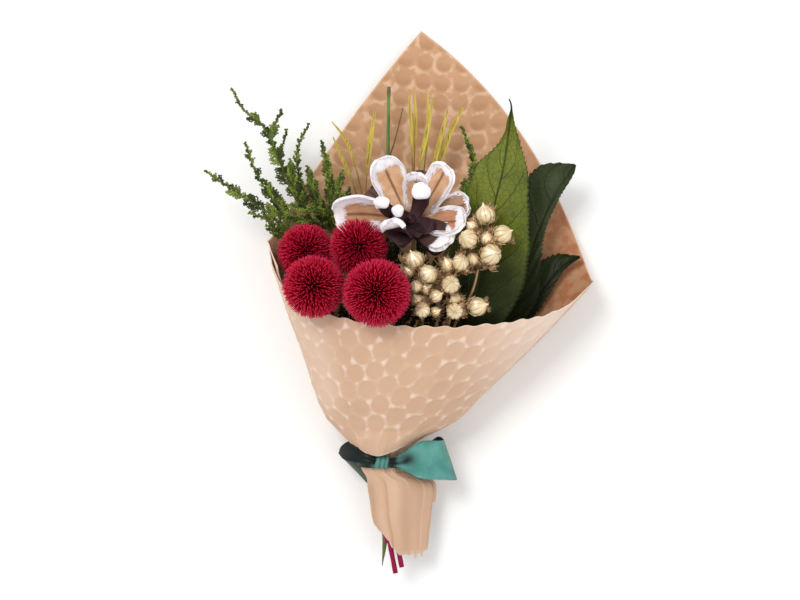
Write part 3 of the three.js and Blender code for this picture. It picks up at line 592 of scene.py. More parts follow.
def goldFinish(name, bright, middle, dark, metal):
    finish = Finish(name, 300, 1500, (1, 0.2, 1), 1400)
    colour = blend(finish.blotch * 0.55, bright, middle)
    # the dark colour here is painted shade in the grooves of pods and husks and at a pod's foot, and a darker
    # tone on sepals and stalks
    colour = blend(ramp(finish.read("seam"), 0.25, 1, 0, 0.8), colour, dark)
    colour = blend(finish.streak * 0.15, colour, middle)
    return finish.dress(colour, (0.3, 0.42), finish.grain, 0.08, 0.4, Metallic=metal)


def cedarFinish():
    finish = Finish("cedarGreen", 160, 1500)
    dark = blend(finish.blotch, (24, 34, 14), (50, 62, 24))
    fresh = blend(finish.speck, (116, 142, 40), (168, 186, 80))
    colour = blend(finish.read("tint"), fresh, dark)
    colour = blend(ramp(finish.read("reach"), 0.5, 1, 0, 0.45), colour, (156, 168, 78))
    # painted shade, near black, on the lower fronds that fill the cone and on some twigs among the others
    colour = finish.coat(colour, deep=(18, 24, 10), bark=(84, 66, 42))
    return finish.dress(colour, (0.45, 0.65), finish.grain, 0.06, 0.5, Specular_IOR_Level=0.3)


def leafFinish(name, base, shade, vein, deep, pairs, length):
    finish = Finish(name, 60, 900, (1, 1, 1), 1200)
    sizes = {"Pairs": pairs, "Bend": veinRule["bend"], "Length": length * mm, "Net": 420}
    veins = useGroup(finish.tree, leafVeins, **sizes)
    colour = blend(finish.blotch, base, shade)
    colour = blend(finish.speck * 0.25, colour, shade)
    colour = blend(veins["Web"] * 0.34, colour, vein)
    # painted shade, darkening the blade towards its foot
    colour = blend(ramp(veins["Along"], 0.3, 0.62, 0.95, 0), colour, deep)
    colour = blend(veins["Vein"] * 0.8, colour, vein)
    colour = blend(finish.read("margin") * 0.5, colour, vein)
    height = veins["Vein"] * -0.9 + veins["Web"] * -0.25 + finish.grain
    return finish.dress(colour, (0.4, 0.54), height, 0.2, 0.8, finish.blotch, Specular_IOR_Level=0.25)


def grassFinish():
    finish = Finish("grassGold", 160, 1600, (1, 0.06, 1), 1500)
    colour = blend(finish.streak, (206, 180, 70), (136, 116, 44))
    colour = finish.coat(colour, husk=(226, 206, 92), brown=(112, 80, 46))
    return finish.dress(colour, (0.45, 0.65), finish.thread, 0.12, Metallic=0.15)


def twigFinish():
    finish = Finish("twigGreen", 120, 1400, (1, 0.1, 1), 1100)
    colour = blend(finish.streak, (104, 136, 62), (66, 96, 40))
    colour = finish.coat(colour, knot=(96, 84, 44))
    return finish.dress(colour, (0.5, 0.68), finish.thread, 0.15)


kraftColours = {
    # paper, its painted shade in the cells, its lighter colour for painted highlights on ridges, lip and lit
    # parts and for the cut edges, share of cell shade and of ridge highlight, share of the warmer tone
    "kraftOutside": [(214, 178, 150), (194, 154, 124), (242, 222, 206), 0.26, 0.62, 0],
    "kraftInside": [(208, 162, 124), (168, 120, 84), (238, 202, 170), 0.46, 0.55, 1],
}
leafColours = {
    # blade, its blotches, veins, painted shade over the foot of the blade, pairs of veins, length in mm
    "leafFront": [(116, 124, 34), (88, 100, 28), (34, 44, 12), (34, 44, 18), 8, 115],
    # the middle and back blades are darker copies of the front one, painted shade for leaves lying lower in
    # the cone
    "leafMiddle": [(62, 72, 34), (48, 58, 26), (24, 32, 12), (34, 44, 18), 8, 92],
    "leafBack": [(48, 58, 26), (34, 44, 20), (16, 24, 10), (24, 32, 14), 7, 56],
}
kraftOutside, kraftInside = [kraftFinish(name, *row) for name, row in kraftColours.items()]
satinTeal = satinFinish()
threadJute = threadFinish()
crimsonSpine = crimsonFinish("crimsonSpine", (44, 0, 12), (186, 0, 36), (240, 44, 92))
crimsonStem = crimsonFinish("crimsonStem", (96, 12, 40), (150, 18, 66), (190, 60, 100))
coneScalePaint = coneFinish()
pickWood = pickFinish()
goldPod = goldFinish("goldPod", (252, 234, 196), (222, 188, 136), (134, 92, 54), 0.4)
goldHusk = goldFinish("goldHusk", (226, 194, 150), (160, 112, 74), (84, 46, 34), 0.3)
goldStalk = goldFinish("goldStalk", (196, 158, 112), (134, 92, 62), (74, 42, 36), 0.3)
cedarGreen = cedarFinish()
leafFinishes = {name: leafFinish(name, *row) for name, row in leafColours.items()}
grassGold = grassFinish()
twigGreen = twigFinish()
print("finishes ready")


# ---- geometry node helpers ----
def newTree(name, inputs):
    return newGroup(name, {"Geometry": None, **inputs}, ["Geometry"], "GeometryNodeTree")


def finishTree(geometry, material, end):
    real = make(geometry.tree, "GeometryNodeRealizeInstances", {"Geometry": geometry})
    dressed = make(geometry.tree, "GeometryNodeSetMaterial", {"Geometry": real, "Material": material})
    plug(dressed, end["Geometry"])


def storeValue(geometry, name, value, domain="POINT"):
    inputs = {"Geometry": geometry, "Name": name, "Value": value}
    kind = "GeometryNodeStoreNamedAttribute"
    return make(geometry.tree, kind, inputs, data_type="FLOAT", domain=domain)


def readField(tree, name, kind="FLOAT"):
    return make(tree, "GeometryNodeInputNamedAttribute", {"Name": name}, data_type=kind)


def randomValue(seed, low, high):
    # a number, or a vector where the limits are vectors
    kind = "FunctionNodeRandomValue"
    if isinstance(low, tuple):
        return make(seed.tree, kind, {0: low, 1: high, "Seed": seed}, data_type="FLOAT_VECTOR")
    return make(seed.tree, kind, {2: low, 3: high, "Seed": seed}, 1, data_type="FLOAT")


def turnWithin(rotation, angles):
    # turns about the rotation's own axes by the three angles
    euler = make(angles.tree, "FunctionNodeEulerToRotation", {0: angles})
    inputs = {"Rotation": rotation, "Rotate By": euler}
    return make(angles.tree, "FunctionNodeRotateRotation", inputs, rotation_space="LOCAL")


def alignTo(vector):
    return make(vector.tree, "FunctionNodeAlignRotationToVector", {"Vector": vector}, axis="Z")


def placeOn(points, source, rotation, scale):
    inputs = {"Points": points, "Instance": source, "Rotation": rotation, "Scale": scale}
    return make(points.tree, "GeometryNodeInstanceOnPoints", inputs)


def objectShape(tree, source):
    return make(tree, "GeometryNodeObjectInfo", {"Object": source, "As Instance": True}, "Geometry")


def roundTube(curve, sides, radius):
    ring = make(curve.tree, "GeometryNodeCurvePrimitiveCircle", {"Resolution": sides, "Radius": radius})
    inputs = {"Curve": curve, "Profile Curve": ring, "Fill Caps": True}
    return make(curve.tree, "GeometryNodeCurveToMesh", inputs)


def moveBy(geometry, shift, turn=(0, 0, 0)):
    inputs = {"Geometry": geometry, "Translation": shift, "Rotation": turn}
    return make(geometry.tree, "GeometryNodeTransform", inputs)


def join(first, second):
    node = first.tree.nodes.new("GeometryNodeJoinGeometry")
    plug(first, node.inputs[0])
    plug(second, node.inputs[0])
    return Value(node.outputs[0])


def grow(piece, tree, values):
    # runs a node tree on a piece and keeps the result as its plain mesh
    modifier = piece.modifiers.new(tree.name, "NODES")
    modifier.node_group = tree
    for item in tree.interface.items_tree:
        if item.in_out == "INPUT" and item.name in values:
            modifier[item.identifier] = values[item.name]
    return bake(piece)


def bake(piece):
    depsgraph = bpy.context.evaluated_depsgraph_get()
    mesh = bpy.data.meshes.new_from_object(
        piece.evaluated_get(depsgraph), preserve_all_data_layers=True, depsgraph=depsgraph
    )
    piece.modifiers.clear()
    old = piece.data
    piece.data = mesh
    bpy.data.meshes.remove(old)
    mesh.name = piece.name
    mesh.shade_smooth()
    return piece


# ---- kraft paper ----
paper = {
    "thickness": 0.36,
    "backColumns": 150,
    "frontColumns": 130,
    "tailRows": 26,
    "coneRows": 138,
    "rowPower": 1.12,
    "firstAngle": -190,
    "lastAngle": 228,
    "layerStep": 1.3,
    "tip": (9.6, 122),
    "leftBow": (-29.5, 77.6),
    "leftCorner": (-58.7, 26),
    "rightBow": (66, 82),
    "rightCorner": (85.5, 8.4),
    "apexY": -78,
    "rimWave": 0.42,
    "tornTail": 1.2,
    "tailEnd": -112,
    "tailCut": 10.5,
    "tailSlant": 1.8,
    "evenOnBack": 40,
    "evenOnFront": -14,
}
# cross-sections from tail to tip: height, centre X, half width, half depth, lowest Z
paperSections = [
    [-116, 1.8, 9.4, 8.2, 3.4],
    [-106, 1.5, 9.9, 9, 2.6],
    [-98, 0.6, 11.6, 9.8, 2],
    [-91, 0.6, 12.6, 10.4, 1.6],
    [-84, 0.3, 13.4, 10.8, 1.4],
    [-80.5, -0.9, 12.5, 10.2, 1.7],
    [-77, -6.2, 9, 9.4, 2.6],
    [-73.5, -7.2, 9.4, 9.4, 2.6],
    [-70.5, -7.2, 9.4, 9.4, 2.6],
    [-67.5, -7.2, 9.9, 10.2, 2.2],
    [-64.5, -7, 12.9, 13.9, 1],
    [-61.6, -6.4, 16.5, 15.9, 0.4],
    [-57, -4, 23.8, 18.4, -0.8],
    [-52, -2.2, 30, 20.2, -1.6],
    [-44, -0.4, 35.4, 23, -2],
    [-26, 6.2, 47.6, 26, -2],
    [-9, 11.4, 59, 27.8, -2],
    [8, 16.1, 69.4, 29, -2],
    [26, 19.2, 78, 29.4, -2],
    [60, 24.4, 93, 29.4, -1.6],
    [122, 30, 112, 29, 5],
]
# the front edge: angle round the cone, height
frontEdge = [
    [0, 8.4],
    [20, -3],
    [45, -8.8],
    [90, -11.5],
    [135, -6.5],
    [160, 1.7],
    [180, 16.7],
    [205, 30],
    [228, 36],
]
# where the emboss fades, and where the painted light, the painted shade of the tail and the warmer tone lie,
# from and to: as heights, as degrees round the sheet, or as X for the three on the right
paperZones = {
    "neck": (-66, -56),
    "tail": (-90, -80),
    "fold": (1, 8),
    "right": (34, 62),
    "paintedLightRight": (18, 70),
    "paintedLightFold": (4, 16),
    "paintedLightAbove": (-60, -30),
    "paintedLightLeft": (126, 150),
    "paintedLightLeftAbove": (-60, -40),
    "dusk": (-84, -78),
    "warmRight": (40, 80),
}
gathers = {"count": 11, "depth": 0.45, "fineCount": 31, "fine": 0.16}
overhang = {"dip": 5, "centre": -62.6, "reach": 5.2, "angle": 105, "foldLine": -64.3}
# soft folds up the cone: angle, width in degrees, height of the ridge
coneFolds = [[126, 7, 1.0], [22, 5, 0.9], [74, 9, 0.35], [205, 8, 0.4]]
# flat creases of the tail: angle, how far the sheet stands out
tailFolds = [
    [-190, 0.2], [-150, -0.4], [-110, 0.4], [-70, -0.4], [-30, 0.2], [12, 0.1],
    [38, 0.35], [41, -0.2], [62, 0], [73, 0.3], [76, -0.15], [104, 0.25],
    [117, 0.1], [121, -0.9], [127, 0.5], [150, 0], [180, 0.3], [228, 0.2],
]
# the shorter layer that stands out at the right of the tail, and the torn strips: angle, length
tailFlap = {"from": -48, "to": 12, "height": -91.2, "out": 2.6}
tornStrips = [[121, 1.6], [57, 2.2], [36, 2]]


def paperPoint(angle, height):
    # a point of the sheet's outer face; angle 0 is the right side, 90 the front, 180 the left
    centreX, halfWidth, halfDepth, lowest = [between(paperSections, height, c) for c in (1, 2, 3, 4)]
    turn = np.radians(angle)
    pleat = gathers["depth"] * np.cos(gathers["count"] * turn)
    pleat = pleat + gathers["fine"] * np.cos(gathers["fineCount"] * turn)
    neckShare = smoothstep(height, -82, -75)
    folds = np.array(tailFolds)
    facet = np.interp(angle, folds[:, 0], folds[:, 1]) * (1 - neckShare)
    out = paper["layerStep"] * smoothstep(angle, 120, 160) + facet
    out = out + pleat * (1 - smoothstep(height, -66, -50)) * (0.05 + 0.95 * neckShare)
    middle = (tailFlap["from"] + tailFlap["to"]) / 2
    flap = np.exp(-((angle - middle) / 34) ** 4) * (1 - smoothstep(height, -79.5, -73))
    out = out + tailFlap["out"] * flap
    for middle, width, rise in coneFolds:
        out = out + rise * np.exp(-np.abs((angle - middle) / width) ** 1.4) * smoothstep(height, -64, -50)
    bump = np.maximum(0, 1 - ((height - overhang["centre"]) / overhang["reach"]) ** 2)
    facing = np.maximum(0, np.cos(turn - math.radians(overhang["angle"]))) ** 4
    return np.stack([
        centreX + (halfWidth + out) * np.cos(turn),
        height - overhang["dip"] * bump * facing,
        np.maximum(lowest + halfDepth + (halfDepth + out) * np.sin(turn), 0),
    ], axis=-1)


def evenAngles(first, last, count, height):
    # angles that stand evenly along the sheet at a height
    fine = np.linspace(first, last, 500)
    ring = paperPoint(fine, np.full(len(fine), float(height)))
    length = distances(ring)
    return np.interp(np.linspace(0, length[-1], count + 1), length, fine)


def cutEdgeX(height, bow, corner):
    # the bowed cut edge of the back, as its X at a height
    tip = np.array(paper["tip"])
    shares = np.linspace(0, 1, 200)[:, None]
    edge = (1 - shares) ** 2 * tip + 2 * shares * (1 - shares) * np.array(bow) + shares**2 * np.array(corner)
    return np.interp(height, edge[::-1, 1], edge[::-1, 0])


def rimHeights(angles, tipAngle):
    heights = between(frontEdge, angles, 1)
    wave = np.sin(np.radians(angles) * 41) + 0.5 * np.sin(np.radians(angles) * 17 + 1)
    wave = paper["rimWave"] * wave * smoothstep(angles, 6, 20)
    heights = heights + wave
    beyond = angles <= -180
    heights = np.where(beyond, paper["leftCorner"][1] + (angles + 180) * 1.1, heights)
    onBack = (angles > -180) & (angles < 0)
    onLeft = angles < tipAngle
    low = np.where(onLeft, paper["leftCorner"][1], paper["rightCorner"][1]).astype(float)
    high = np.full_like(low, paper["tip"][1])
    for _ in range(30):
        middle = (low + high) / 2
        x = paperPoint(angles, middle)[:, 0]
        leftX = cutEdgeX(middle, paper["leftBow"], paper["leftCorner"])
        rightX = cutEdgeX(middle, paper["rightBow"], paper["rightCorner"])
        inside = np.where(onLeft, x > leftX, x < rightX)
        low, high = np.where(inside, middle, low), np.where(inside, high, middle)
    return np.where(onBack, low, heights)


def tailHeights(angles):
    # the lower edge, cut higher on its left side, with a shorter layer at the right and torn strips
    turn = np.radians(angles)
    rng = np.random.default_rng(5)
    spots = np.linspace(paper["firstAngle"], paper["lastAngle"], 90)
    torn = np.interp(angles, spots, rng.random(len(spots)) ** 3) * paper["tornTail"]
    onLeft = np.clip((-np.cos(turn) - 0.25) / 0.75, 0, 1)
    edge = paper["tailEnd"] + paper["tailCut"] * onLeft - paper["tailSlant"] * np.sin(turn) + torn
    for place, length in tornStrips:
        edge = edge - length * np.exp(-((angles - place) / 5) ** 4)
    onFlap = (angles > tailFlap["from"]) & (angles < tailFlap["to"])
    return np.where(onFlap, tailFlap["height"] + torn * 0.3, edge)


def embossTree():
    tree, start, end = newTree("embossing", emboss)
    flatX, flatY, stagger = [readField(tree, key) for key in ("flatX", "flatY", "stagger")]
    field = embossField(flatX, flatY, stagger, start)
    # the cells of the front sink inward; on the back the ridges rise between them
    inward = (1 - field) * stagger + field * (1 - stagger)
    depth = inward * readField(tree, "strength") * start["Depth"] * -1
    offset = vectorMaths("SCALE", make(tree, "GeometryNodeInputNormal"), depth)
    inputs = {"Geometry": start["Geometry"], "Offset": offset}
    finishTree(make(tree, "GeometryNodeSetPosition", inputs), kraftOutside, end)
    return tree


def buildPaper():
    sections = np.array(paperSections)
    tipX = np.interp(paper["tip"][1], sections[:, 0], sections[:, 1])
    tipHalf = np.interp(paper["tip"][1], sections[:, 0], sections[:, 2])
    tipAngle = -math.degrees(math.acos((paper["tip"][0] - tipX) / tipHalf))
    half = paper["backColumns"] // 2
    angles = np.concatenate([
        evenAngles(paper["firstAngle"], tipAngle, half, paper["evenOnBack"])[:-1],
        evenAngles(tipAngle, 0, half, paper["evenOnBack"])[:-1],
        evenAngles(0, paper["lastAngle"], paper["frontColumns"], paper["evenOnFront"]),
    ])
    rims, tails = rimHeights(angles, tipAngle), tailHeights(angles)
    neckY = stems["neck"][1]
    rows = []
    for j in range(paper["tailRows"]):
        rows.append(tails + (neckY - tails) * (j / paper["tailRows"]))
    for j in range(paper["coneRows"] + 1):
        rows.append(neckY + (rims - neckY) * (j / paper["coneRows"]) ** paper["rowPower"])
    heights = np.stack(rows, axis=1)
    allAngles = np.repeat(angles[:, None], heights.shape[1], axis=1)
    grid = paperPoint(allAngles.reshape(-1), heights.reshape(-1)).reshape(*heights.shape, 3)
    # the sheet as if unrolled about the middle of its back or front
    front = angles >= 0
    arc = np.zeros_like(heights)
    fine = np.linspace(-110, 110, 221)
    for half, centre in ((~front, -90), (front, 90)):
        for j in range(heights.shape[1]):
            level = heights[half, j]
            ring = paperPoint(fine + centre, np.full_like(fine, level.mean()))
            length = distances(ring[:, [0, 2]])
            length -= np.interp(0, fine, length)
            arc[half, j] = np.interp(angles[half] - centre, fine, length)
    meanLevel = np.where(front[:, None], heights[front].mean(axis=0), heights[~front].mean(axis=0))
    reach = np.maximum(heights - paper["apexY"], 6)
    meanReach = np.maximum(meanLevel - paper["apexY"], 6)
    bend = np.where(heights > neckY, arc / meanReach, 0)
    flatX = np.where(heights > neckY, reach * np.sin(bend), arc)
    flatY = np.where(heights > neckY, reach * np.cos(bend), heights - paper["apexY"])
    # the emboss is pressed flat along the right fold and at the neck, and half lost in the tail
    onTail = 1 - smoothstep(heights, *paperZones["tail"])
    strength = smoothstep(heights, *paperZones["neck"]) + 0.2 * onTail
    strength = strength * smoothstep(np.abs(allAngles), *paperZones["fold"])
    worn = 0.6 * smoothstep(grid[..., 0], *paperZones["right"]) * (allAngles < 0)
    strength = strength * (1 - worn)
    # the cut edges are lighter, where the fibres show
    rimEdge = np.zeros_like(heights)
    rimEdge[:, -1] = 0.6
    rimEdge[:, 0] = 0.5
    # painted light on the right part of the front, and a little on its left
    pale = 0.75 * smoothstep(grid[..., 0], *paperZones["paintedLightRight"])
    pale = pale * smoothstep(allAngles, *paperZones["paintedLightFold"])
    pale = pale * smoothstep(heights, *paperZones["paintedLightAbove"])
    onLeft = smoothstep(allAngles, *paperZones["paintedLightLeft"])
    pale = pale + 0.3 * onLeft * smoothstep(heights, *paperZones["paintedLightLeftAbove"])
    # painted shade in light and dark strips down the tail
    strips = 0.45 + 0.4 * np.sin(np.radians(allAngles) * 4 + heights * 0.05 + 1)
    strips = strips + 0.2 * np.sin(allAngles * 0.17)
    dusk = 0.6 * np.clip(strips, 0, 1) * (1 - smoothstep(heights, *paperZones["dusk"]))
    # painted highlight along the fold of the overhanging lip
    onFold = np.exp(-((heights - overhang["foldLine"]) / 0.8) ** 2)
    rimEdge = np.maximum(rimEdge, 0.95 * onFold * np.exp(-((allAngles - 95) / 60) ** 4))
    warm = 0.75 * smoothstep(grid[..., 0], *paperZones["warmRight"]) * (allAngles < 0)
    values = {
        "flatX": flatX * mm,
        "flatY": flatY * mm,
        "stagger": allAngles >= 0,
        "strength": strength,
        "rimEdge": rimEdge,
        "pale": pale,
        "warm": warm,
        "dusk": dusk,
    }
    faces = gridFaces(np.arange(heights.size).reshape(heights.shape))[:, ::-1]
    shape = Shape()
    shape.add(grid, faces.tolist(), **values)
    sheet = makePiece("paperSheet", shape, kraftOutside, kraftInside)
    grow(sheet, embossTree(), emboss)
    sheet.data.materials.clear()
    for material in (kraftOutside, kraftInside):
        sheet.data.materials.append(material)
    solid = sheet.modifiers.new("thickness", "SOLIDIFY")
    solid.thickness = paper["thickness"] * mm
    solid.offset = -1
    solid.material_offset = 1
    bake(sheet)
    settle(sheet, "kraft", "paper_wrap")


buildPaper()
print("paper ready")

# ---- ribbon ----
ribbon = {
    "thickness": 0.34,
    "steps": 56,
    "rows": 12,
    "inner": 10.2,
    "lapOver": 1.3,
    "top": -70.3,
    "bottom": -74.6,
}
ribbonLoops = {
    "Left": [
        [[-9, -69.6, 24.6], [-14.4, -67.2, 25.2], [-21.6, -62.7, 21], [-25.6, -64.8, 17],
         [-27.2, -67.8, 14], [-25.4, -70.4, 12], [-20, -71.4, 8.6], [-15, -72, 6]],
        [[-9, -72.8, 24.4], [-14.4, -72.2, 24.8], [-20.6, -72, 21.4], [-25.2, -71.2, 16.4],
         [-27.6, -68.8, 12], [-26.2, -70.8, 9.6], [-21, -76.4, 6.4], [-14, -84.4, 3]],
    ],
    "Right": [
        [[-5, -70.6, 24.4], [0.6, -68, 26.8], [9.3, -62.4, 28], [17.4, -62.2, 25.6],
         [19.4, -62.4, 18], [17, -61.4, 12.6], [11, -66, 10.4], [2.6, -71.4, 9.8]],
        [[-5, -73.8, 24.4], [0.6, -75, 26], [9.1, -78.8, 26.2], [18.4, -79.6, 24.4],
         [25.4, -80.2, 18], [20, -76.6, 11.4], [11, -74.8, 8.4], [2.6, -75, 9]],
    ],
}
knot = {"x": -8, "y": -71.9, "z": 24, "length": 5.6, "half": 2.8, "depth": 2, "folds": 0.5, "foldDepth": 0.12}


def buildRibbon():
    for side, rails in ribbonLoops.items():
        upper, lower = [smoothLine(rail, ribbon["steps"] + 1) for rail in rails]
        v = np.linspace(0, 1, ribbon["rows"] + 1)[None, :]
        grid = upper[:, None] * (1 - v[..., None]) + lower[:, None] * v[..., None]
        normal = unit(np.cross(np.gradient(grid, axis=0), np.gradient(grid, axis=1)))
        s = np.linspace(0, 1, ribbon["steps"] + 1)[:, None]
        pleat = 0.6 * np.sin(v * math.pi * 5 + 0.6) * np.exp(-s * 8) * smoothstep(s, 0, 0.06)
        belly = 0.6 * np.sin(math.pi * v) * np.sin(math.pi * np.clip(s * 1.7, 0, 1))
        dent = 1.9 * np.exp(-((s - 0.17) / 0.06) ** 2 - ((v - 0.42) / 0.2) ** 2)
        if side == "Left":
            # painted shade, near black, over the upper leg of the left loop, the inside of the loop
            inner = 0.95 * (1 - smoothstep(s, 0.5, 0.57)) + 0.05 + 0 * v
            dull = smoothstep(s, 0.5, 0.57) + 0 * v
            grid = grid + normal * pleat[..., None]
        else:
            dull = 0
            # painted shade in the dent and next to the knot, and over the far half of the loop, its inside
            inner = 0.9 * np.exp(-((s - 0.16) / 0.08) ** 2 - ((v - 0.4) / 0.24) ** 2)
            inner = inner + 0.95 * (1 - smoothstep(s, 0.03, 0.1)) + 0.85 * smoothstep(s, 0.5, 0.6)
            inner = inner + 0.4 * (1 - smoothstep(s, 0.1, 0.24)) * (0.6 + 0.4 * np.sin(v * 14))
            flip = np.sign(normal[6, 6, 2])
            grid = grid + normal * (flip * (pleat + belly - dent))[..., None]
        shape = Shape()
        addBlade(shape, grid, ribbon["thickness"], inner=np.clip(inner, 0, 1), dull=dull)
        settle(makePiece("ribbonLoop" + side, shape, satinTeal), "satin", "ribbon_bow")
    # the turn round the neck, with the small creases of a tight tie
    turns = np.linspace(0, 2 * math.pi, 97)
    heights = np.linspace(ribbon["bottom"], ribbon["top"], 15)
    turn, height = np.meshgrid(turns, heights, indexing="ij")
    radius = ribbon["inner"] + 0.5 + ribbon["lapOver"] * (1 - smoothstep(np.cos(turn), -0.7, 0.2))
    radius = radius + 0.18 * np.sin(height * 2.4 + 0.8 * np.sin(turn * 5))
    x, z = stems["neck"][0] + radius * np.cos(turn), stems["neck"][2] + radius * np.sin(turn)
    grid = np.stack([x, height, z], axis=-1)
    shape = Shape()
    # painted shade over the turn, darkest on its left part, under the left loop
    shade = 0.25 + 0.7 * (1 - smoothstep(grid[::-1, :, 0], -14, -10))
    addBlade(shape, grid[::-1], ribbon["thickness"], inner=shade)
    settle(makePiece("ribbonTurn", shape, satinTeal), "satin", "ribbon_bow")
    # the knot, a short wrap of two flat folds
    shape = Shape()
    rings, sides = 60, 36
    share = np.linspace(-1, 1, rings)
    swell = np.sqrt(1 - 0.55 * share**4)
    fold = 1 + knot["foldDepth"] * np.abs(np.sin(share * knot["folds"] * math.pi))
    around = evenTurns(sides)
    x = knot["x"] + share[:, None] * knot["length"] / 2 + 0.35 * np.sin(2 * around)[None]
    y = knot["y"] + knot["half"] * (swell * fold)[:, None] * np.cos(around)
    z = knot["z"] + knot["depth"] * (swell * fold)[:, None] * np.sin(around)
    # painted shade in the knot's two creases and over the rest of it
    crease = 0.5 * np.exp(-((share + 0.3) / 0.09) ** 2) + 0.4 * np.exp(-((share - 0.45) / 0.11) ** 2)
    inner = np.repeat(np.clip(crease + 0.28, 0, 1), sides)
    shape.add(np.stack([x, y, z], axis=-1), tubeFaces(rings, sides), inner=inner)
    settle(makePiece("ribbonKnot", shape, satinTeal), "satin", "ribbon_bow")


buildRibbon()
print("ribbon ready")

# ---- binding thread ----
binding = {"Radius": 7.4 * mm, "Thread": 0.36 * mm, "Turns": 6.0, "Height": 4.0 * mm}


def bindingTree():
    tree, start, end = newTree("threadTurns", binding)
    coil = make(tree, "GeometryNodeCurveSpiral", {
        "Resolution": 40,
        "Rotations": start["Turns"],
        "Start Radius": start["Radius"],
        "End Radius": start["Radius"],
        "Height": start["Height"],
    })
    centred = moveBy(roundTube(coil, 8, start["Thread"]), vectorMaths("SCALE", (0, 0, -0.5), start["Height"]))
    laid = moveBy(centred, [c * mm for c in stems["neck"]], (math.pi / 2, 0, 0))
    finishTree(laid, threadJute, end)
    return tree


def buildBinding():
    shape = Shape()
    shape.add([stems["neck"]], [])
    piece = makePiece("bindingThread", shape)
    grow(piece, bindingTree(), binding)
    settle(piece, "thread", "binding_thread")


buildBinding()

# ---- crimson spiky heads ----
spikyHeads = {
    "front_right": {"centre": (-9.9, 3, 60), "radius": 14.3, "slot": (0, 2),
                    "via": [(-7.6, -30, 30), (-9, -9, 45)], "cut": [(0.8, -119.4, 17.2)]},
    "front_left": {"centre": (-36.8, 5.7, 53), "radius": 13.2, "slot": (-1, 2),
                   "via": [(-17, -34, 27), (-31, -8, 42)], "cut": [(-2, -122.2, 16.5)]},
    "back_right": {"centre": (-18.2, 23, 35.8), "radius": 12.8, "slot": (-0.5, 1),
                   "via": [(-11, -30, 22), (-15.5, 6, 31)], "cut": None},
    "back_left": {"centre": (-41.5, 21.2, 27.6), "radius": 12.3, "slot": (-1.5, 1),
                  "via": [(-20, -34, 18), (-34, 4, 23)], "cut": None},
}
spines = {
    "Core": 0.46,
    "Count": 1700,
    "Thick": 0.36 * mm,
    "Tip": 0.13 * mm,
    "Shortest": 0.83,
    "Stray": 0.1,
}
spikyStem = {"radius": 1.1, "taper": 0.8, "sides": 10}
globeGrowth = 1.06


def spikyTree():
    globe = {"Centre": (0.0, 0.0, 0.0), "Radius": 0.014, "Seed": 1}
    tree, start, end = newTree("spikyGlobe", {**globe, **spines})
    # directions spread evenly over the globe by the golden angle
    index = make(tree, "GeometryNodeInputIndex")
    rise = (index + 0.5) / start["Count"] * -2 + 1
    flat = maths("SQRT", 1 - rise * rise)
    turn = index * (math.pi * (3 - math.sqrt(5)))
    even = combine(flat * maths("COSINE", turn), flat * maths("SINE", turn), rise)
    stray = vectorMaths("SCALE", randomValue(start["Seed"], (-1, -1, -1), (1, 1, 1)), start["Stray"])
    coreRadius = start["Radius"] * start["Core"]
    placed = vectorMaths("ADD", vectorMaths("SCALE", even, coreRadius), start["Centre"])
    points = make(tree, "GeometryNodePoints", {"Count": start["Count"], "Position": placed})
    # one spine, with painted shade at its root and a painted highlight at its tip
    length = start["Radius"] * (1 - start["Core"])
    cone = {
        "Vertices": 4,
        "Side Segments": 3,
        "Fill Segments": 1,
        "Radius Top": start["Tip"],
        "Radius Bottom": start["Thick"],
        "Depth": length,
    }
    spine = make(tree, "GeometryNodeMeshCone", cone, fill_type="TRIANGLE_FAN")
    upward = make(tree, "ShaderNodeSeparateXYZ", {0: make(tree, "GeometryNodeInputPosition")}, 2)
    spine = storeValue(spine, "reach", upward / length)
    size = combine(1, 1, randomValue(start["Seed"], start["Shortest"], 1))
    spread = placeOn(points, spine, alignTo(vectorMaths("ADD", even, stray)), size)
    spread = storeValue(spread, "tint", randomValue(start["Seed"], 0, 1), "INSTANCE")
    core = make(tree, "GeometryNodeMeshIcoSphere", {"Radius": coreRadius, "Subdivisions": 3})
    # the core takes the darkest colour, painted shade among the spines
    core = storeValue(storeValue(core, "reach", 0), "tint", 1)
    finishTree(join(spread, moveBy(core, start["Centre"])), crimsonSpine, end)
    return tree


def nodeLabel(name):
    # front_right becomes FrontRight
    return "".join(word.capitalize() for word in name.split("_"))


def buildSpikyHeads():
    tree = spikyTree()
    for number, (name, head) in enumerate(spikyHeads.items()):
        node = "spiky_head_" + name
        seedPoint = Shape()
        seedPoint.add([head["centre"]], [])
        globe = makePiece("spikyGlobe" + nodeLabel(name), seedPoint)
        grow(globe, tree, {
            **spines,
            "Centre": tuple(c * mm for c in head["centre"]),
            "Radius": head["radius"] * globeGrowth * mm,
            "Seed": 7 + number,
        })
        settle(globe, "crimson", node)
        line = stemLine(head["slot"], head["via"] + [head["centre"]], head["cut"])
        shape = Shape()
        ripple = 1 + 0.05 * np.sin(np.arange(len(line)) * 1.7)
        radius = np.linspace(1, spikyStem["taper"], len(line)) * spikyStem["radius"] * ripple
        addTube(shape, line, radius, spikyStem["sides"], reach=0.55, tint=0.5)
        settle(makePiece("spikyStem" + nodeLabel(name), shape, crimsonStem), "crimson", node)


buildSpikyHeads()
print("spiky heads ready")

# ---- pine cone ----
cone = {
    "base": np.array([5.6, 31, 33]),
    "axis": unit(np.array([-0.1, 0.34, 0.935])),
    "coreRadius": 4.2,
    "coreLength": 14,
    "columns": 30,
    "rows": 22,
    "thin": 0.8,
    "thickCap": 0.9,
    "blob": 1.6,
    "cup": 0.24,
}
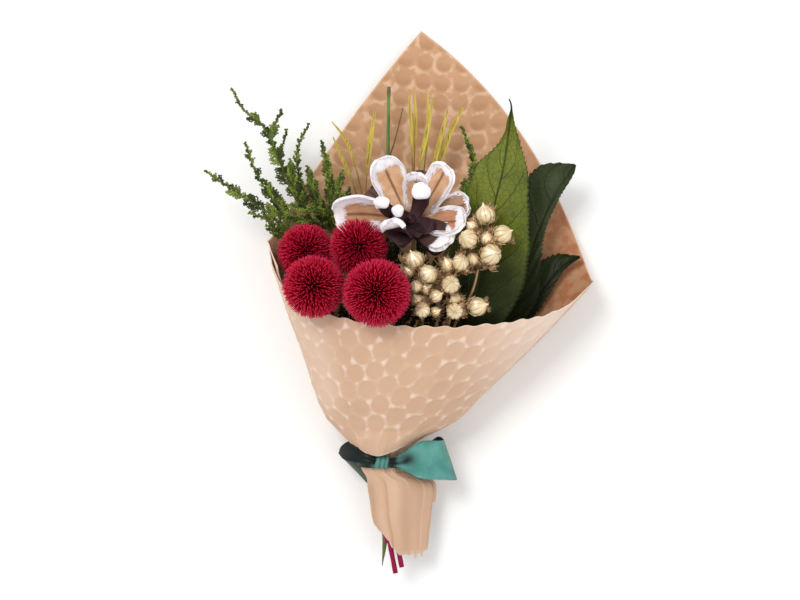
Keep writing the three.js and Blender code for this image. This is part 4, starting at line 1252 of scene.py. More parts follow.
# height of the root up the axis, tip, width, how dark, painted cap and rim in mm, warm inside, own knee and
# own direction across if it has them
coneScales = [
    [2.5, (-14, 48, 33), 12, 0.9, 0, 0, 0, None, None],
    [2.5, (12, 56, 35), 13, 0.9, 0, 0, 0, None, None],
    [2.5, (19, 22.6, 37), 12, 1, 0, 0, 0, None, None],
    [6.5, (-8.3, 60.8, 46), 15, 0, 4.8, 1.9, 0.1, None, None],
    [6, (-28.6, 36.6, 37), 17.4, 0.15, 4.6, 3, 0.3, (-11, 39.6, 40), (0.1, 1, 0.42)],
    [6.5, (7.1, 54.6, 45), 11, 0.1, 3, 2, 0.1, None, None],
    [6.5, (20.2, 57.2, 49.6), 13.4, 0, 2.8, 1.9, 0.1, None, None],
    [6.5, (29.6, 41.6, 46.4), 13.4, 0.45, 1.5, 1, 0.2, None, None],
    [6.5, (27.4, 34, 52.6), 14.4, 0.1, 4, 2, 0.55, None, None],
    [6.5, (20.4, 24, 52.4), 13.6, 0.95, 5, 0, 0.3, (13, 29.6, 45.6), None],
    [8, (-4.4, 33.6, 56), 12.6, 1, 3.2, 0, 0, (2, 25.6, 49), (1, -0.24, 0.1)],
    [7, (-2.4, 24.6, 47), 11, 1, 0, 0, 0, (1.6, 28, 45), None],
    [10, (-9.2, 42, 55.4), 6.4, 1, 1.2, 0, 0, None, None],
    [10, (-1.2, 38.4, 56.8), 6, 1, 1, 0, 0, None, None],
    [10, (9.4, 48, 56), 8.4, 1, 2.6, 0, 0, None, None],
    [10, (13.6, 30.6, 50), 8, 1, 0, 0, 0, None, None],
    [10, (7.6, 27.6, 50), 7, 1, 0, 0, 0, None, None],
]
# thick drops of paint on the tips of the small scales: centre, half sizes
paintDrops = [[(-7.7, 41.4, 56.2), (3.6, 2.6, 2.2)], [(-0.9, 37.9, 57.6), (2.7, 2.8, 2.2)],
              [(9, 46.2, 56.8), (4.3, 3.8, 2.4)]]
# share of the length, share of the width
scaleOutline = [
    [0, 0.42], [0.25, 0.66], [0.5, 0.88], [0.72, 1], [0.86, 0.96], [0.94, 0.82], [0.985, 0.6], [1, 0.42],
]


def addConeScale(shape, rng, height, tip, width, dark, cap, rim, warm, knee, wish):
    tip = np.array(tip, dtype=float)
    root = cone["base"] + cone["axis"] * height
    out = tip - root
    length = np.linalg.norm(out)
    out = unit(out - cone["axis"] * out.dot(cone["axis"]))
    if knee is None:
        knee = root + cone["axis"] * 0.12 * length + out * 0.5 * length
    u = np.linspace(0, 1, cone["columns"] + 1)[:, None] ** 0.85
    rib = (1 - u) ** 2 * root + 2 * u * (1 - u) * np.array(knee) + u**2 * tip
    if wish is None:
        wish = np.cross(cone["axis"], out)
    side, inward = across(np.gradient(rib, axis=0), wish)
    if inward[-1].dot(cone["axis"]) < -0.2:
        side, inward = -side, -inward
    share = np.sin(np.linspace(-math.pi / 2, math.pi / 2, cone["rows"] + 1))[None, :]
    half = (width / 2) * between(scaleOutline, u[:, 0], 1)[:, None]
    half = half * (1 + 0.03 * np.sin(u * 9 + rng.uniform(0, 6)) + 0.02 * np.sin(u * 21 + rng.uniform(0, 6)))
    whole = lineLength(rib)
    toTip = (1 - u) * whole + 0.25 * np.sin(share * 5 + rng.uniform(0, 6))
    toEdge = half * (1 - np.abs(share))
    outer = smoothstep(u, 0.16, 0.5)
    # a painted cap at the tip and a painted rim along the sides, both thicker than the bare wood
    onCap = 1 - smoothstep(toTip, cap - 0.9, cap + 0.9) if cap else 0 * toTip
    sway = rng.uniform(0, 6) + 2 * (share > 0)
    uneven = rim * (0.95 + 0.4 * np.sin(u * 6 + sway) + 0.2 * np.sin(u * 19 + sway))
    onRim = (1 - smoothstep(toEdge - uneven, -1, 1.2)) * smoothstep(u, 0.2, 0.5) if rim else 0 * toTip
    paint = np.clip(np.maximum(onCap, onRim), 0, 1)
    rolled = np.exp(-(toEdge / 0.9) ** 2) * outer
    tipRoll = np.exp(-(((1 - u) * whole) / 1.4) ** 2)
    wobble = 0.3 * np.sin(u * 7 + rng.uniform(0, 6)) * share + 0.2 * np.sin(share * 4 + rng.uniform(0, 6)) * u
    lift = cone["cup"] * half * share**2 * outer + 0.3 * rolled - 0.5 * tipRoll + wobble * outer
    grid = sweep(rib, side, half * share, inward, lift)
    groove = np.exp(-((share * half / 0.28) ** 2)) * (1 - paint) * 0.9 * smoothstep(u, 0.1, 0.4)
    darkness = np.clip(dark + (1 - smoothstep(u, 0.1, 0.34)), 0, 1) + 0 * share
    thickness = cone["thin"] + (cone["thickCap"] if rim else cone["blob"]) * paint
    values = {
        "paint": paint,
        "groove": groove,
        "dark": darkness,
        "warm": warm * smoothstep(u, 0.1, 0.5),
        "streakAcross": half * share + tip[0],
        "streakAlong": u * whole,
    }
    addBlade(shape, grid, thickness, **values)


def addPaintDrop(shape, centre, size):
    # an uneven rounded drop, closed at both ends
    rings, sides = 9, 18
    rise = np.linspace(-1, 1, rings)[:, None]
    ring = np.sqrt(1 - (rise * 0.96) ** 2)
    turn = evenTurns(sides)[None, :]
    uneven = 1 + 0.07 * np.sin(turn * 3 + centre[0]) + 0.05 * np.sin(turn * 5 + rise * 2)
    x, y = ring * np.cos(turn) * uneven, ring * np.sin(turn) * uneven
    points = np.array(centre) + np.stack([x, y, rise + 0 * turn], axis=-1) * np.array(size)
    shape.add(points, tubeFaces(rings, sides), paint=1, streakAcross=x * 3)


def buildPineCone():
    rng = random.Random(3)
    shape = Shape()
    for row in coneScales:
        addConeScale(shape, rng, *row)
    for centre, size in paintDrops:
        addPaintDrop(shape, centre, size)
    piece = makePiece("pineConeScales", shape, coneScalePaint)
    smooth = piece.modifiers.new("smooth", "SUBSURF")
    smooth.levels = 1
    smooth.render_levels = 1
    bake(piece)
    settle(piece, "conewood", "pine_cone")
    # the woody core, ridged where the scales spring from it
    outline = np.array([[0, 0.5], [0.15, 0.95], [0.55, 0.9], [0.85, 0.5], [1, 0.15]])
    rise = np.linspace(0, 1, 24)
    line = cone["base"] + rise[:, None] * cone["axis"] * cone["coreLength"]
    swell = np.interp(rise, outline[:, 0], outline[:, 1]) * (1 + 0.12 * np.sin(rise * 40))
    core = Shape()
    addTube(core, line, cone["coreRadius"] * swell, 16, dark=1.0)
    settle(makePiece("pineConeCore", core, coneScalePaint), "conewood", "pine_cone")
    foot = cone["base"] - cone["axis"] * 0.8
    under = foot - cone["axis"] * 4 + [0, -4, 0]
    pick = Shape()
    addTube(pick, stemLine((0.5, 1), [(-2.4, -34, 17.5), under, foot]), 1.15, 10)
    settle(makePiece("conePick", pick, pickWood), "pickwood", "cone_pick")


buildPineCone()
print("pine cone ready")

# ---- golden pods ----
podSprays = {
    "left": {
        "slot": (1, 2), "via": [(3, -40, 28), (9.4, -14, 40)], "fork": [(9.6, -6, 43), (8.8, 10, 46.4)],
        "pods": [(6.2, 17.4, 52, 3.9), (12, 11.2, 55.5, 3.8), (4, 12.4, 47.6, 2.4), (7, 6, 51, 2.6),
                 (11.6, 5, 48.6, 2.5), (15.6, 1.8, 52, 2.7), (7.4, 0.2, 47.2, 2.5), (9.6, -4.4, 51, 3.4),
                 (15.4, -5, 48.6, 2.2)],
    },
    "middle": {
        "slot": (1.5, 1), "via": [(10, -38, 26), (20, -14, 38)], "fork": [(22.4, -5, 42.4), (23, 12, 45.6)],
        "pods": [(25.8, 16, 54, 3.6), (20.6, 15.2, 50.4, 3), (21.6, 6.6, 54, 3.9), (23.8, 0.6, 49.8, 2.4),
                 (23.4, -4.8, 52, 3.6), (33.4, -2.8, 49.4, 4.1)],
    },
    "right": {
        "slot": (2, 0), "via": [(16, -36, 25), (25.4, -7, 37.6)], "fork": [(31.4, 4, 43), (35.6, 25, 45)],
        "pods": [(38.8, 19.4, 53, 4.6), (31.2, 17.6, 49.8, 2.8), (29, 26, 54.4, 4.1), (37, 26.6, 50, 3),
                 (44, 28.2, 51.6, 4), (30.6, 31.6, 51.4, 2.4), (36.4, 36.6, 51.4, 4)],
    },
}
pod = {
    "ribs": 9,
    "ribDepth": 0.055,
    "fineRibs": 27,
    "fineDepth": 0.012,
    "around": 54,
    "up": 20,
    "sepals": 5,
    "husks": 32,
}
# height up the pod, radius
podOutline = [
    [-0.96, 0.2], [-0.8, 0.55], [-0.45, 0.88], [0, 1], [0.45, 0.88], [0.8, 0.5], [1.05, 0.2], [1.4, 0.03],
]


def podMesh():
    # one pod of radius 1: ribs run from stalk to beak, with a few pointed sepals at the foot
    shape = Shape()
    rise = np.linspace(podOutline[0][0], podOutline[-1][0], pod["up"])[:, None]
    turn = evenTurns(pod["around"])[None, :]
    wave = np.abs(np.sin(turn * pod["ribs"] / 2)) ** 0.6
    belly = np.sin(np.clip((rise + 1) / 2.2, 0, 1) * math.pi)
    rib = 1 - pod["ribDepth"] * (1 - wave) * (0.4 + belly) + pod["fineDepth"] * np.cos(turn * pod["fineRibs"])
    radius = between(podOutline, rise[:, 0], 1)[:, None] * rib
    points = np.stack([radius * np.cos(turn), radius * np.sin(turn), rise + 0 * turn], axis=-1)
    # painted shade in the grooves between the ribs, and over the foot of the pod
    seam = 0.75 * np.clip(1 - wave * 1.5, 0, 1) + 0.16 * (0.5 + 0.5 * np.cos(turn * 3 + rise * 2))
    seam = np.maximum(seam, 1 - smoothstep(rise, -0.95, -0.35))
    shape.add(points, tubeFaces(pod["up"], pod["around"]), seam=seam)
    addSepals(shape, pod["sepals"], 1, [0.98, 0.9, 0.45, 0])
    return shape


def addSepals(shape, number, size, drops):
    # pointed papery sepals that stand out round the foot
    for k in range(number):
        angle = 2 * math.pi * k / number
        out = np.array([math.cos(angle), math.sin(angle), 0])
        reaches = (0, 0.62, 0.98, 1.14)
        ribLine = smoothLine([out * far * size - [0, 0, drop] for far, drop in zip(reaches, drops)], 7)
        side = np.array([-out[1], out[0], 0])
        wide = size * np.array([0.1, 0.22, 0.3, 0.32, 0.25, 0.13, 0.01])
        grid = ribLine[:, None] + side * (wide[:, None] * np.array([-1, 0, 1]))[..., None]
        addBlade(shape, grid, 0.06, seam=np.array([0.5, 0.1, 0.5]))


def huskMesh():
    # a dry husk of radius 1: the open sepals round what is left of a pod
    shape = Shape()
    rings, sides = 8, 15
    rise = np.linspace(-0.8, 0.5, rings)[:, None]
    turn = evenTurns(sides)[None, :]
    radius = 0.62 * np.sqrt(np.clip(1 - ((rise + 0.1) / 0.75) ** 2, 0.02, 1)) * (1 + 0.12 * np.cos(turn * 5))
    points = np.stack([radius * np.cos(turn), radius * np.sin(turn), rise + 0 * turn], axis=-1)
    # painted shade in the grooves between the lobes
    seam = 0.3 + 0.5 * (np.cos(turn * 5) < -0.3) + 0 * rise
    shape.add(points, tubeFaces(rings, sides), seam=seam)
    addSepals(shape, 5, 1, [0.8, 0.55, -0.05, -0.75])
    addSepals(shape, 4, 0.7, [0.7, 0.4, -0.2, -0.7])
    return shape


def podTree(name, source, material):
    tree, start, end = newTree(name, {"Seed": 1})
    roll = randomValue(start["Seed"], (0, 0, 0), (0, 0, 6.28))
    turned = turnWithin(alignTo(readField(tree, "facing", "FLOAT_VECTOR")), roll)
    placed = placeOn(start["Geometry"], objectShape(tree, source), turned, readField(tree, "size"))
    finishTree(placed, material, end)
    return tree


def buildCluster(name, centres, radii, facings, tree, seed, node):
    seeds = Shape()
    seeds.add(centres, [], size=radii)
    cluster = makePiece(name, seeds)
    storeVectors(cluster, "facing", facings)
    grow(cluster, tree, {"Seed": seed})
    settle(cluster, "gold", node)


def buildPods():
    sources = [makePiece("podSource", podMesh(), goldPod), makePiece("huskSource", huskMesh(), goldHusk)]
    trees = [podTree("podCluster", sources[0], goldPod), podTree("huskCluster", sources[1], goldHusk)]
    rng = random.Random(12)
    for number, (name, spray) in enumerate(podSprays.items()):
        node = "pod_spray_" + name
        low, high = [np.array(p, dtype=float) for p in spray["fork"]]
        stretch = high - low
        stalks = Shape()
        route = stemLine(spray["slot"], spray["via"] + spray["fork"])
        addTube(stalks, route, np.linspace(1, 0.5, len(route)), 8, seam=0.3)
        whole = [np.array(p, dtype=float) for p in spray["pods"]]
        husks = []
        for k in range(pod["husks"]):
            # dry husks and small buds fill the gaps between the pods
            host = whole[k % len(whole)]
            turn = rng.uniform(0, 2 * math.pi)
            reach = host[3] * rng.uniform(0.7, 1.25)
            spread = [reach * math.cos(turn), reach * math.sin(turn), rng.uniform(-5.6, -0.6)]
            husks.append(np.append(host[:3] + spread, rng.uniform(1.3, 2.7)))
        for kind, grains in enumerate((whole, husks)):
            facings = []
            for grain in grains:
                centre, radius = grain[:3], grain[3]
                share = np.clip((centre + [0, -3, 0] - low).dot(stretch) / stretch.dot(stretch), 0, 1)
                origin = low + stretch * share
                away = unit((centre - origin) * [1, 1, 0.45])
                loose = np.array([rng.uniform(-0.5, 0.5), rng.uniform(-0.3, 0.5), 0.35])
                facing = unit(away + loose)
                facings.append(facing)
                foot = centre - facing * 0.9 * radius
                bow = (origin + foot) / 2 + [rng.uniform(-0.8, 0.8), rng.uniform(-0.8, 0.2), -0.5]
                line = smoothLine([origin, bow, foot], 9)
                addTube(stalks, line, np.linspace(0.42, 0.28, 9), 6, seam=0.45)
            label = ("podCluster", "huskCluster")[kind] + name.capitalize()
            centres, radii = [g[:3] for g in grains], [g[3] for g in grains]
            buildCluster(label, centres, radii, facings, trees[kind], 20 + number, node)
        settle(makePiece("podStalks" + name.capitalize(), stalks, goldStalk), "gold", node)
    for source in sources:
        bpy.data.objects.remove(source)


buildPods()
print("pods ready")

# ---- cedar ----
cedarSprays = {
    "low": {
        "slot": (-2, 0), "cut": [(-8, -119.8, 11), (-7, -106, 11.4)],
        "via": [(-25, -34, 13.5), (-36, -4, 14), (-41.4, 20, 12.9), (-49.5, 30, 18.4)],
        "fronds": [
            [[(-49.5, 30, 18.4), (-56, 37, 24), (-63, 41.6, 28), (-72.4, 47.8, 32), (-84.7, 56.3, 36)],
             (0.1, -0.3, 1), 0.8, 6.6],
            [[(-49.5, 30, 18.4), (-53.6, 41, 24), (-60.2, 50.4, 29), (-64, 57.6, 31), (-67.6, 68.6, 33)],
             (-0.3, 0, 1), 1, 6],
            [[(-49.5, 30, 18.4), (-57, 34.6, 24), (-66, 38.6, 26)], (0, -0.2, 1), 0.5, 4.4],
            [[(-46, 26, 15.6), (-53, 29, 20), (-59, 33, 23)], (0, -0.3, 1), 0.2, 5.4],
            [[(-43, 21, 13.2), (-48.4, 19, 18), (-51.6, 21, 22), (-53, 26, 25)], (0.1, -0.2, 1), 0.3, 4],
            [[(-49.5, 30, 18.4), (-50.6, 38, 22), (-54.6, 46, 25.6), (-60, 53, 28)], (0.1, 0, 1), 0.2, 4.6],
        ],
    },
    "tall": {
        "slot": (-1.5, -1), "cut": None,
        "via": [(-21, -34, 9), (-31, 0, 9.8), (-36.6, 26, 10.6), (-41, 38, 14)],
        "fronds": [
            [[(-41, 38, 14), (-48, 50, 20), (-54.4, 63, 26), (-59.6, 75.6, 30), (-68.6, 83.6, 34),
              (-73.2, 92, 36)], (0.2, 0, 1), 1, 6.6],
            [[(-55.4, 65, 26.6), (-56.4, 70, 28), (-56, 75, 29), (-52.2, 83, 30)], (0, 0.2, 1), 0.9, 4.4],
            [[(-41, 38, 14), (-47, 51, 19), (-52.8, 62, 23), (-50.2, 75, 25)], (-0.2, 0.2, 1), 0.9, 5],
            [[(-41, 38, 14), (-43.6, 50, 17), (-45.9, 61, 20), (-44.6, 70, 22), (-40.6, 77.8, 23)],
             (-0.2, 0.2, 1), 0.5, 3.4],
            [[(-41, 38, 14), (-45, 46, 20), (-48, 54, 23), (-48.6, 62, 24)], (0.1, 0, 1), 0, 5.4],
        ],
    },
    "inner": {
        "slot": (-0.5, -1), "cut": None,
        "via": [(-14, -34, 7.4), (-25, 4, 7.6), (-30, 30, 9)],
        "fronds": [
            [[(-30, 30, 9), (-30.6, 46, 18), (-32, 57, 23), (-34.6, 70, 26)], (0.3, 0, 1), 0.1, 6],
            [[(-30, 30, 9), (-30.6, 41, 17), (-28, 50, 20), (-25.2, 57, 21.6)], (0, 0.2, 1), 0, 6.2],
            [[(-30, 30, 9), (-31.4, 36.6, 18), (-38, 39.6, 23), (-50.6, 42, 26)], (0, -0.2, 1), 0, 5],
            [[(-30, 30, 9), (-36, 34.6, 17), (-44, 36, 22), (-52, 39, 23)], (0, -0.3, 1), 0, 5],
            [[(-30, 30, 9), (-35, 40, 16), (-39, 50, 20), (-41, 59, 22)], (0.1, 0, 1), 0, 6.2],
            [[(-30, 30, 9), (-27.6, 37, 14), (-25, 44, 16.6), (-22.6, 50, 17.6)], (0, 0, 1), 0, 5],
            [[(-29, 24, 8.8), (-37, 25, 15), (-46, 28, 18)], (0, 0, 1), 0.1, 6],
        ],
    },
    "right": {
        "slot": (0.5, -1), "cut": None,
        "via": [(2, -34, 6), (14, 6, 6.6), (26, 32, 9)],
        "fronds": [[[(26, 32, 9), (31, 48, 12), (33, 62, 15), (27.6, 77, 19)], (0, 0, 1), 0.3, 5],
                   [[(26, 32, 9), (28, 44, 11.6), (29, 54, 13.6)], (0, 0, 1), 0.3, 5]],
    },
}
cedar = {
    "lean": 44,
    "twigStep": 2.3,
    "branchStep": 1.7,
    "droop": 0.018,
    "stalkSteps": 40,
}
scaleLeaves = {
    "Spacing": 0.62 * mm,
    "Leaf length": 1.5 * mm,
    "Leaf width": 1.5 * mm,
    "Twig radius": 0.24 * mm,
}
# lower fronds in painted shade, near black, that fill the cone: where the tip of each one comes to, and its
# reach
lowerTips = [
    [(-27, 30, 26), 9], [(-19, 16, 33), 9], [(-26, -2, 36), 8], [(-2, 25, 28), 9], [(0, -5, 38), 8],
    [(3, 16, 34), 9], [(16, 18, 36), 9], [(30, -4, 31), 8], [(14, 38, 29), 9], [(14, -9, 33), 8],
    [(-46, 32, 20), 8], [(-13, 44, 20), 9], [(-52.4, 17, 20), 7], [(-50, 8, 22), 6], [(4.4, 19, 40), 7],
    [(11, 23, 40), 7], [(1.7, 9, 40), 6], [(3.6, 1, 40), 6], [(6, -7, 38), 6], [(18, -8, 38), 6],
    [(25, -8, 36), 6], [(-25, -4, 40), 5], [(-5.4, 29, 38), 6], [(20, 8, 40), 6], [(13, 10, 44), 5],
    [(30, 10, 36), 6], [(28, 44, 24), 7], [(0, 42, 22), 8],
]


def twigLines(axis, face, bushy, reach, rng, deep=0.0):
    # the stalk of a frond, its leaning twigs and the branchlets on them: line, width, facing, tint, painted
    # shade;
    # a frond that isn't bushy is a flat feather, a bushy one grows in tufts
    steps = cedar["stalkSteps"]
    stalk = smoothLine(axis, steps)
    length = lineLength(stalk)
    flat, side = across(np.gradient(stalk, axis=0), np.array(face))
    along = unit(np.gradient(stalk, axis=0))
    lines = [(stalk, 0.8, flat, 0.7, deep)]

    def place(x, y):
        u = np.clip(x / length, 0, 1) * (steps - 1)
        spot, sideways, upward = [
            np.array([np.interp(u, np.arange(steps), column) for column in rows.T])
            for rows in (stalk, side, flat)
        ]
        past = np.maximum(x - length, 0) * along[-1]
        return spot - sideways * y - upward * cedar["droop"] * y * y + past

    def flatAt(x):
        return flat[int(np.clip(x / length, 0, 1) * (steps - 1))]

    count = int(length * 0.86 / (cedar["twigStep"] * (1 + 0.35 * bushy + 0.3 * deep)))
    clump = rng.uniform(0, 6)
    for k in range(count * 2):
        hand = 1 if k % 2 else -1
        start = length * (0.12 + 0.87 * (k + 0.5) / (count * 2))
        share = start / length
        feather = min(1, (1.06 - share) / 0.4)
        slim = 1.06 - 0.86 * share**1.3
        tuft = 0.82 + bushy * 0.42 * math.sin(start * 0.62 + clump)
        twig = reach * ((1 - bushy) * feather + bushy * slim) * tuft * rng.uniform(0.85, 1.1)
        if rng.random() < 0.06 + 0.08 * bushy or twig < 0.9:
            twig = max(0.9, twig * 0.5)
        turn = math.radians(cedar["lean"] + rng.uniform(-7, 7) - 12 * share)
        shares = np.linspace(0, 1, 9)
        xs = start + np.concatenate([[0], np.cumsum(np.cos(turn - 0.5 * shares[1:]))]) * twig / 8
        ys = hand * np.concatenate([[0], np.cumsum(np.sin(turn - 0.5 * shares[1:]))]) * twig / 8
        lift = rng.uniform(-0.5, 1.3) * shares[:, None] ** 2 * min(1, twig / 4)
        line = np.array([place(x, y) for x, y in zip(xs, ys)]) + lift * flatAt(start)
        tint = rng.choice([0, 0.1, 0.35, 0.8, 1] if bushy < 0.6 else [0.05, 0.4, 0.8, 1, 1])
        # some twigs get painted shade at random, as if shaded by the others
        shade = max(deep, rng.choice([0, 0, 0.2, 0.55]))
        lines.append((line, 0.85, np.repeat(flatAt(start)[None], 9, axis=0), tint, shade))
        branches = int(twig / cedar["branchStep"] * (1 - 0.6 * deep))
        for m in range(branches):
            for inner in (-1, 1):
                at = (m + 0.5 + 0.35 * (inner > 0)) / (branches + 0.4)
                if at > 0.93:
                    continue
                x0, y0 = np.interp(at, shares, xs), np.interp(at, shares, ys)
                heading = turn - 0.5 * at + inner * 0.8
                small = ((0.17 + 0.25 * bushy) * twig * (1.14 - at) + 0.4) * rng.uniform(0.8, 1.15)
                reachOut = small * np.array([0, 0.38, 0.72, 1])
                curve = heading - inner * 0.35 * np.array([0, 0.3, 0.7, 1])
                branch = np.array([
                    place(x0 + math.cos(c) * r, y0 + hand * math.sin(c) * r) for c, r in zip(curve, reachOut)
                ])
                bow = rng.uniform(-0.3, 0.3) + np.array([0, 0.1, 0.1, -0.2])
                branch = branch + flatAt(x0) * bow[:, None]
                lines.append((branch, 0.72, np.repeat(flatAt(x0)[None], 4, axis=0), tint, shade))
    return lines


def scaleLeafShape():
    # a small pointed scale, folded along its middle, of length and width 1
    shape = Shape()
    points = [(0, 0, -0.1), (0.5, 0, 0.5), (0, 0.34, 0.4), (-0.5, 0, 0.5), (0, -0.34, 0.4), (0.06, 0, 0.92)]
    faces = [(0, 2, 1), (0, 3, 2), (0, 4, 3), (0, 1, 4), (5, 1, 2), (5, 2, 3), (5, 3, 4), (5, 4, 1)]
    shape.add(np.array(points) / mm, faces, reach=[0, 0.45, 0.3, 0.45, 0.3, 1])
    return shape


def scaleLeafTree(source):
    tree, start, end = newTree("scaleLeaves", {**scaleLeaves, "Seed": 1})
    curve = make(tree, "GeometryNodeMeshToCurve", {"Mesh": start["Geometry"]})
    inputs = {"Curve": curve, "Length": start["Spacing"]}
    even = make(tree, "GeometryNodeResampleCurve", inputs, mode="LENGTH")
    points = addNode(tree, "GeometryNodeCurveToPoints", {"Curve": even}, mode="EVALUATED").outputs
    # each scale lies along its twig and leans to one side, by turns to the left and right
    face = readField(tree, "face", "FLOAT_VECTOR")
    axes = {"Primary Axis": Value(points["Tangent"]), "Secondary Axis": face}
    turnTo = make(tree, "FunctionNodeAxesToRotation", axes, primary_axis="Z", secondary_axis="Y")
    hand = maths("FLOORED_MODULO", make(tree, "GeometryNodeInputIndex"), 2) * 2 - 1
    turned = turnWithin(turnTo, combine(0, hand * randomValue(start["Seed"], 0.15, 0.4), 0))
    width = readField(tree, "width")
    wide = start["Leaf width"] * width
    size = combine(wide, wide, start["Leaf length"] * width)
    leaves = placeOn(Value(points["Points"]), objectShape(tree, source), turned, size)
    mixed = randomValue(start["Seed"], 0, 0.8) * 0.25 + readField(tree, "tint") * 0.8
    leaves = storeValue(leaves, "tint", mixed, "INSTANCE")
    leaves = storeValue(leaves, "deep", readField(tree, "deep"), "INSTANCE")
    twigs = storeValue(roundTube(curve, 5, start["Twig radius"]), "tint", 0.9)
    finishTree(join(leaves, twigs), cedarGreen, end)
    return tree


def buildFronds(name, lines, tree, seed):
    shape, facings = Shape(), []
    for line, width, flats, tint, deep in lines:
        links = [(k, k + 1) for k in range(len(line) - 1)]
        shape.add(line, [], links, width=width, tint=tint, deep=deep)
        facings += list(flats)
    fronds = makePiece(name, shape)
    storeVectors(fronds, "face", facings)
    return grow(fronds, tree, {**scaleLeaves, "Seed": seed})


def buildCedar():
    source = makePiece("scaleLeafSource", scaleLeafShape(), cedarGreen)
    tree = scaleLeafTree(source)
    rng = random.Random(41)
    for number, (name, spray) in enumerate(cedarSprays.items()):
        lines = []
        for axis, face, bushy, reach in spray["fronds"]:
            lines += twigLines(axis, face, bushy, reach, rng)
        node = "cedar_" + name
        settle(buildFronds("cedarFronds" + name.capitalize(), lines, tree, 50 + number), "cedar", node)
        stem = Shape()
        route = stemLine(spray["slot"], spray["via"], spray["cut"])
        radius = np.linspace(1.1, 0.8, len(route))
        if spray["cut"]:
            # a long slanting cut
            radius = radius * np.minimum(1, 0.12 + 0.2 * np.arange(len(route)))
        addTube(stem, route, radius, 9, tint=0.4, bark=0.5)
        settle(makePiece("cedarStem" + name.capitalize(), stem, cedarGreen), "cedar", node)
    lines = []
    for tip, reach in lowerTips:
        x, y, z = tip
        foot = (0.55 * x - 3, y - 22, 8)
        axis = [foot, (0.8 * x - 1, y - 12, 8 + 0.5 * (z - 8)), (0.94 * x, y - 5, 8 + 0.85 * (z - 8)), tip]
        # these lower fronds are given painted shade
        lines += twigLines(axis, (0.1, 0, 1), 0, reach, rng, 0.82)
    inside = buildFronds("cedarLowerTwigs", lines, tree, 60)
    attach(inside, "root")
    bpy.data.objects.remove(source)


buildCedar()
print("cedar ready")

# ---- broad leaves ----
broadLeaves = {
    "front": {
        "slot": (1, 0), "via": [(6, -40, 15)], "face": (-0.28, 0.05, 1),
        "rib": [(18, -22, 21), (24, -15, 24), (29.5, -8.8, 27.5), (34.6, 8.8, 32), (37.8, 26.1, 35.5),
                (41.3, 42.4, 38.5), (44.9, 57.6, 40.5), (48.3, 82.4, 42)],
        "widths": [[0, 0.6, 0.6], [0.12, 7, 9], [0.24, 12, 17.6], [0.36, 15, 21], [0.5, 15.8, 20],
                   [0.66, 13.4, 15.6], [0.78, 11.4, 11.4], [0.86, 4.6, 7.4], [0.91, 1.5, 4.6], [0.96, 1, 2],
                   [1, 0.3, 0.3]],
    },
    "middle": {
        "slot": (1.5, -1), "via": [(12, -42, 8.6), (30, -30, 10)], "face": (-0.24, 0, 1),
        "rib": [(38, -21, 12.4), (46.6, -9, 16), (55, 11, 19), (60.7, 28.8, 22), (68.7, 46.6, 23.6),
                (77.6, 60, 24.4)],
        "widths": [[0, 0.6, 0.6], [0.14, 8, 5.6], [0.32, 14, 10.4], [0.5, 15.8, 6], [0.66, 15.6, 3],
                   [0.8, 15.6, 2.8], [0.9, 12.6, 2.6], [0.96, 7, 2], [1, 0.4, 0.4]],
    },
    "back": {
        "slot": (1, -2), "via": [(12, -42, 4.6), (32, -30, 6.2)], "face": (-0.5, 0.1, 1),
        "rib": [(43, -21.7, 8.4), (55.1, -8.1, 12), (63.9, 4.5, 13.4), (71.8, 14.4, 15), (80.3, 19.3, 18.4)],
        "widths": [[0, 0.6, 0.6], [0.2, 6.4, 3.6], [0.42, 10, 4.6], [0.64, 10.6, 4], [0.82, 7.4, 2.6],
                   [0.93, 3, 1.2], [1, 0.5, 0.5]],
    },
}
leaf = {
    "columns": 300,
    "rows": 30,
    "thickness": 0.34,
    "fold": 0.1,
    "wave": 0.7,
    "toothPitch": 2.2,
    "toothDepth": 1.15,
    "puff": 0.35,
    "pairs": {"front": 7, "middle": 8, "back": 7},
    "drip": [(48.3, 82.4, 42), (48.1, 84.6, 42.6), (47.2, 87, 43.4)],
}


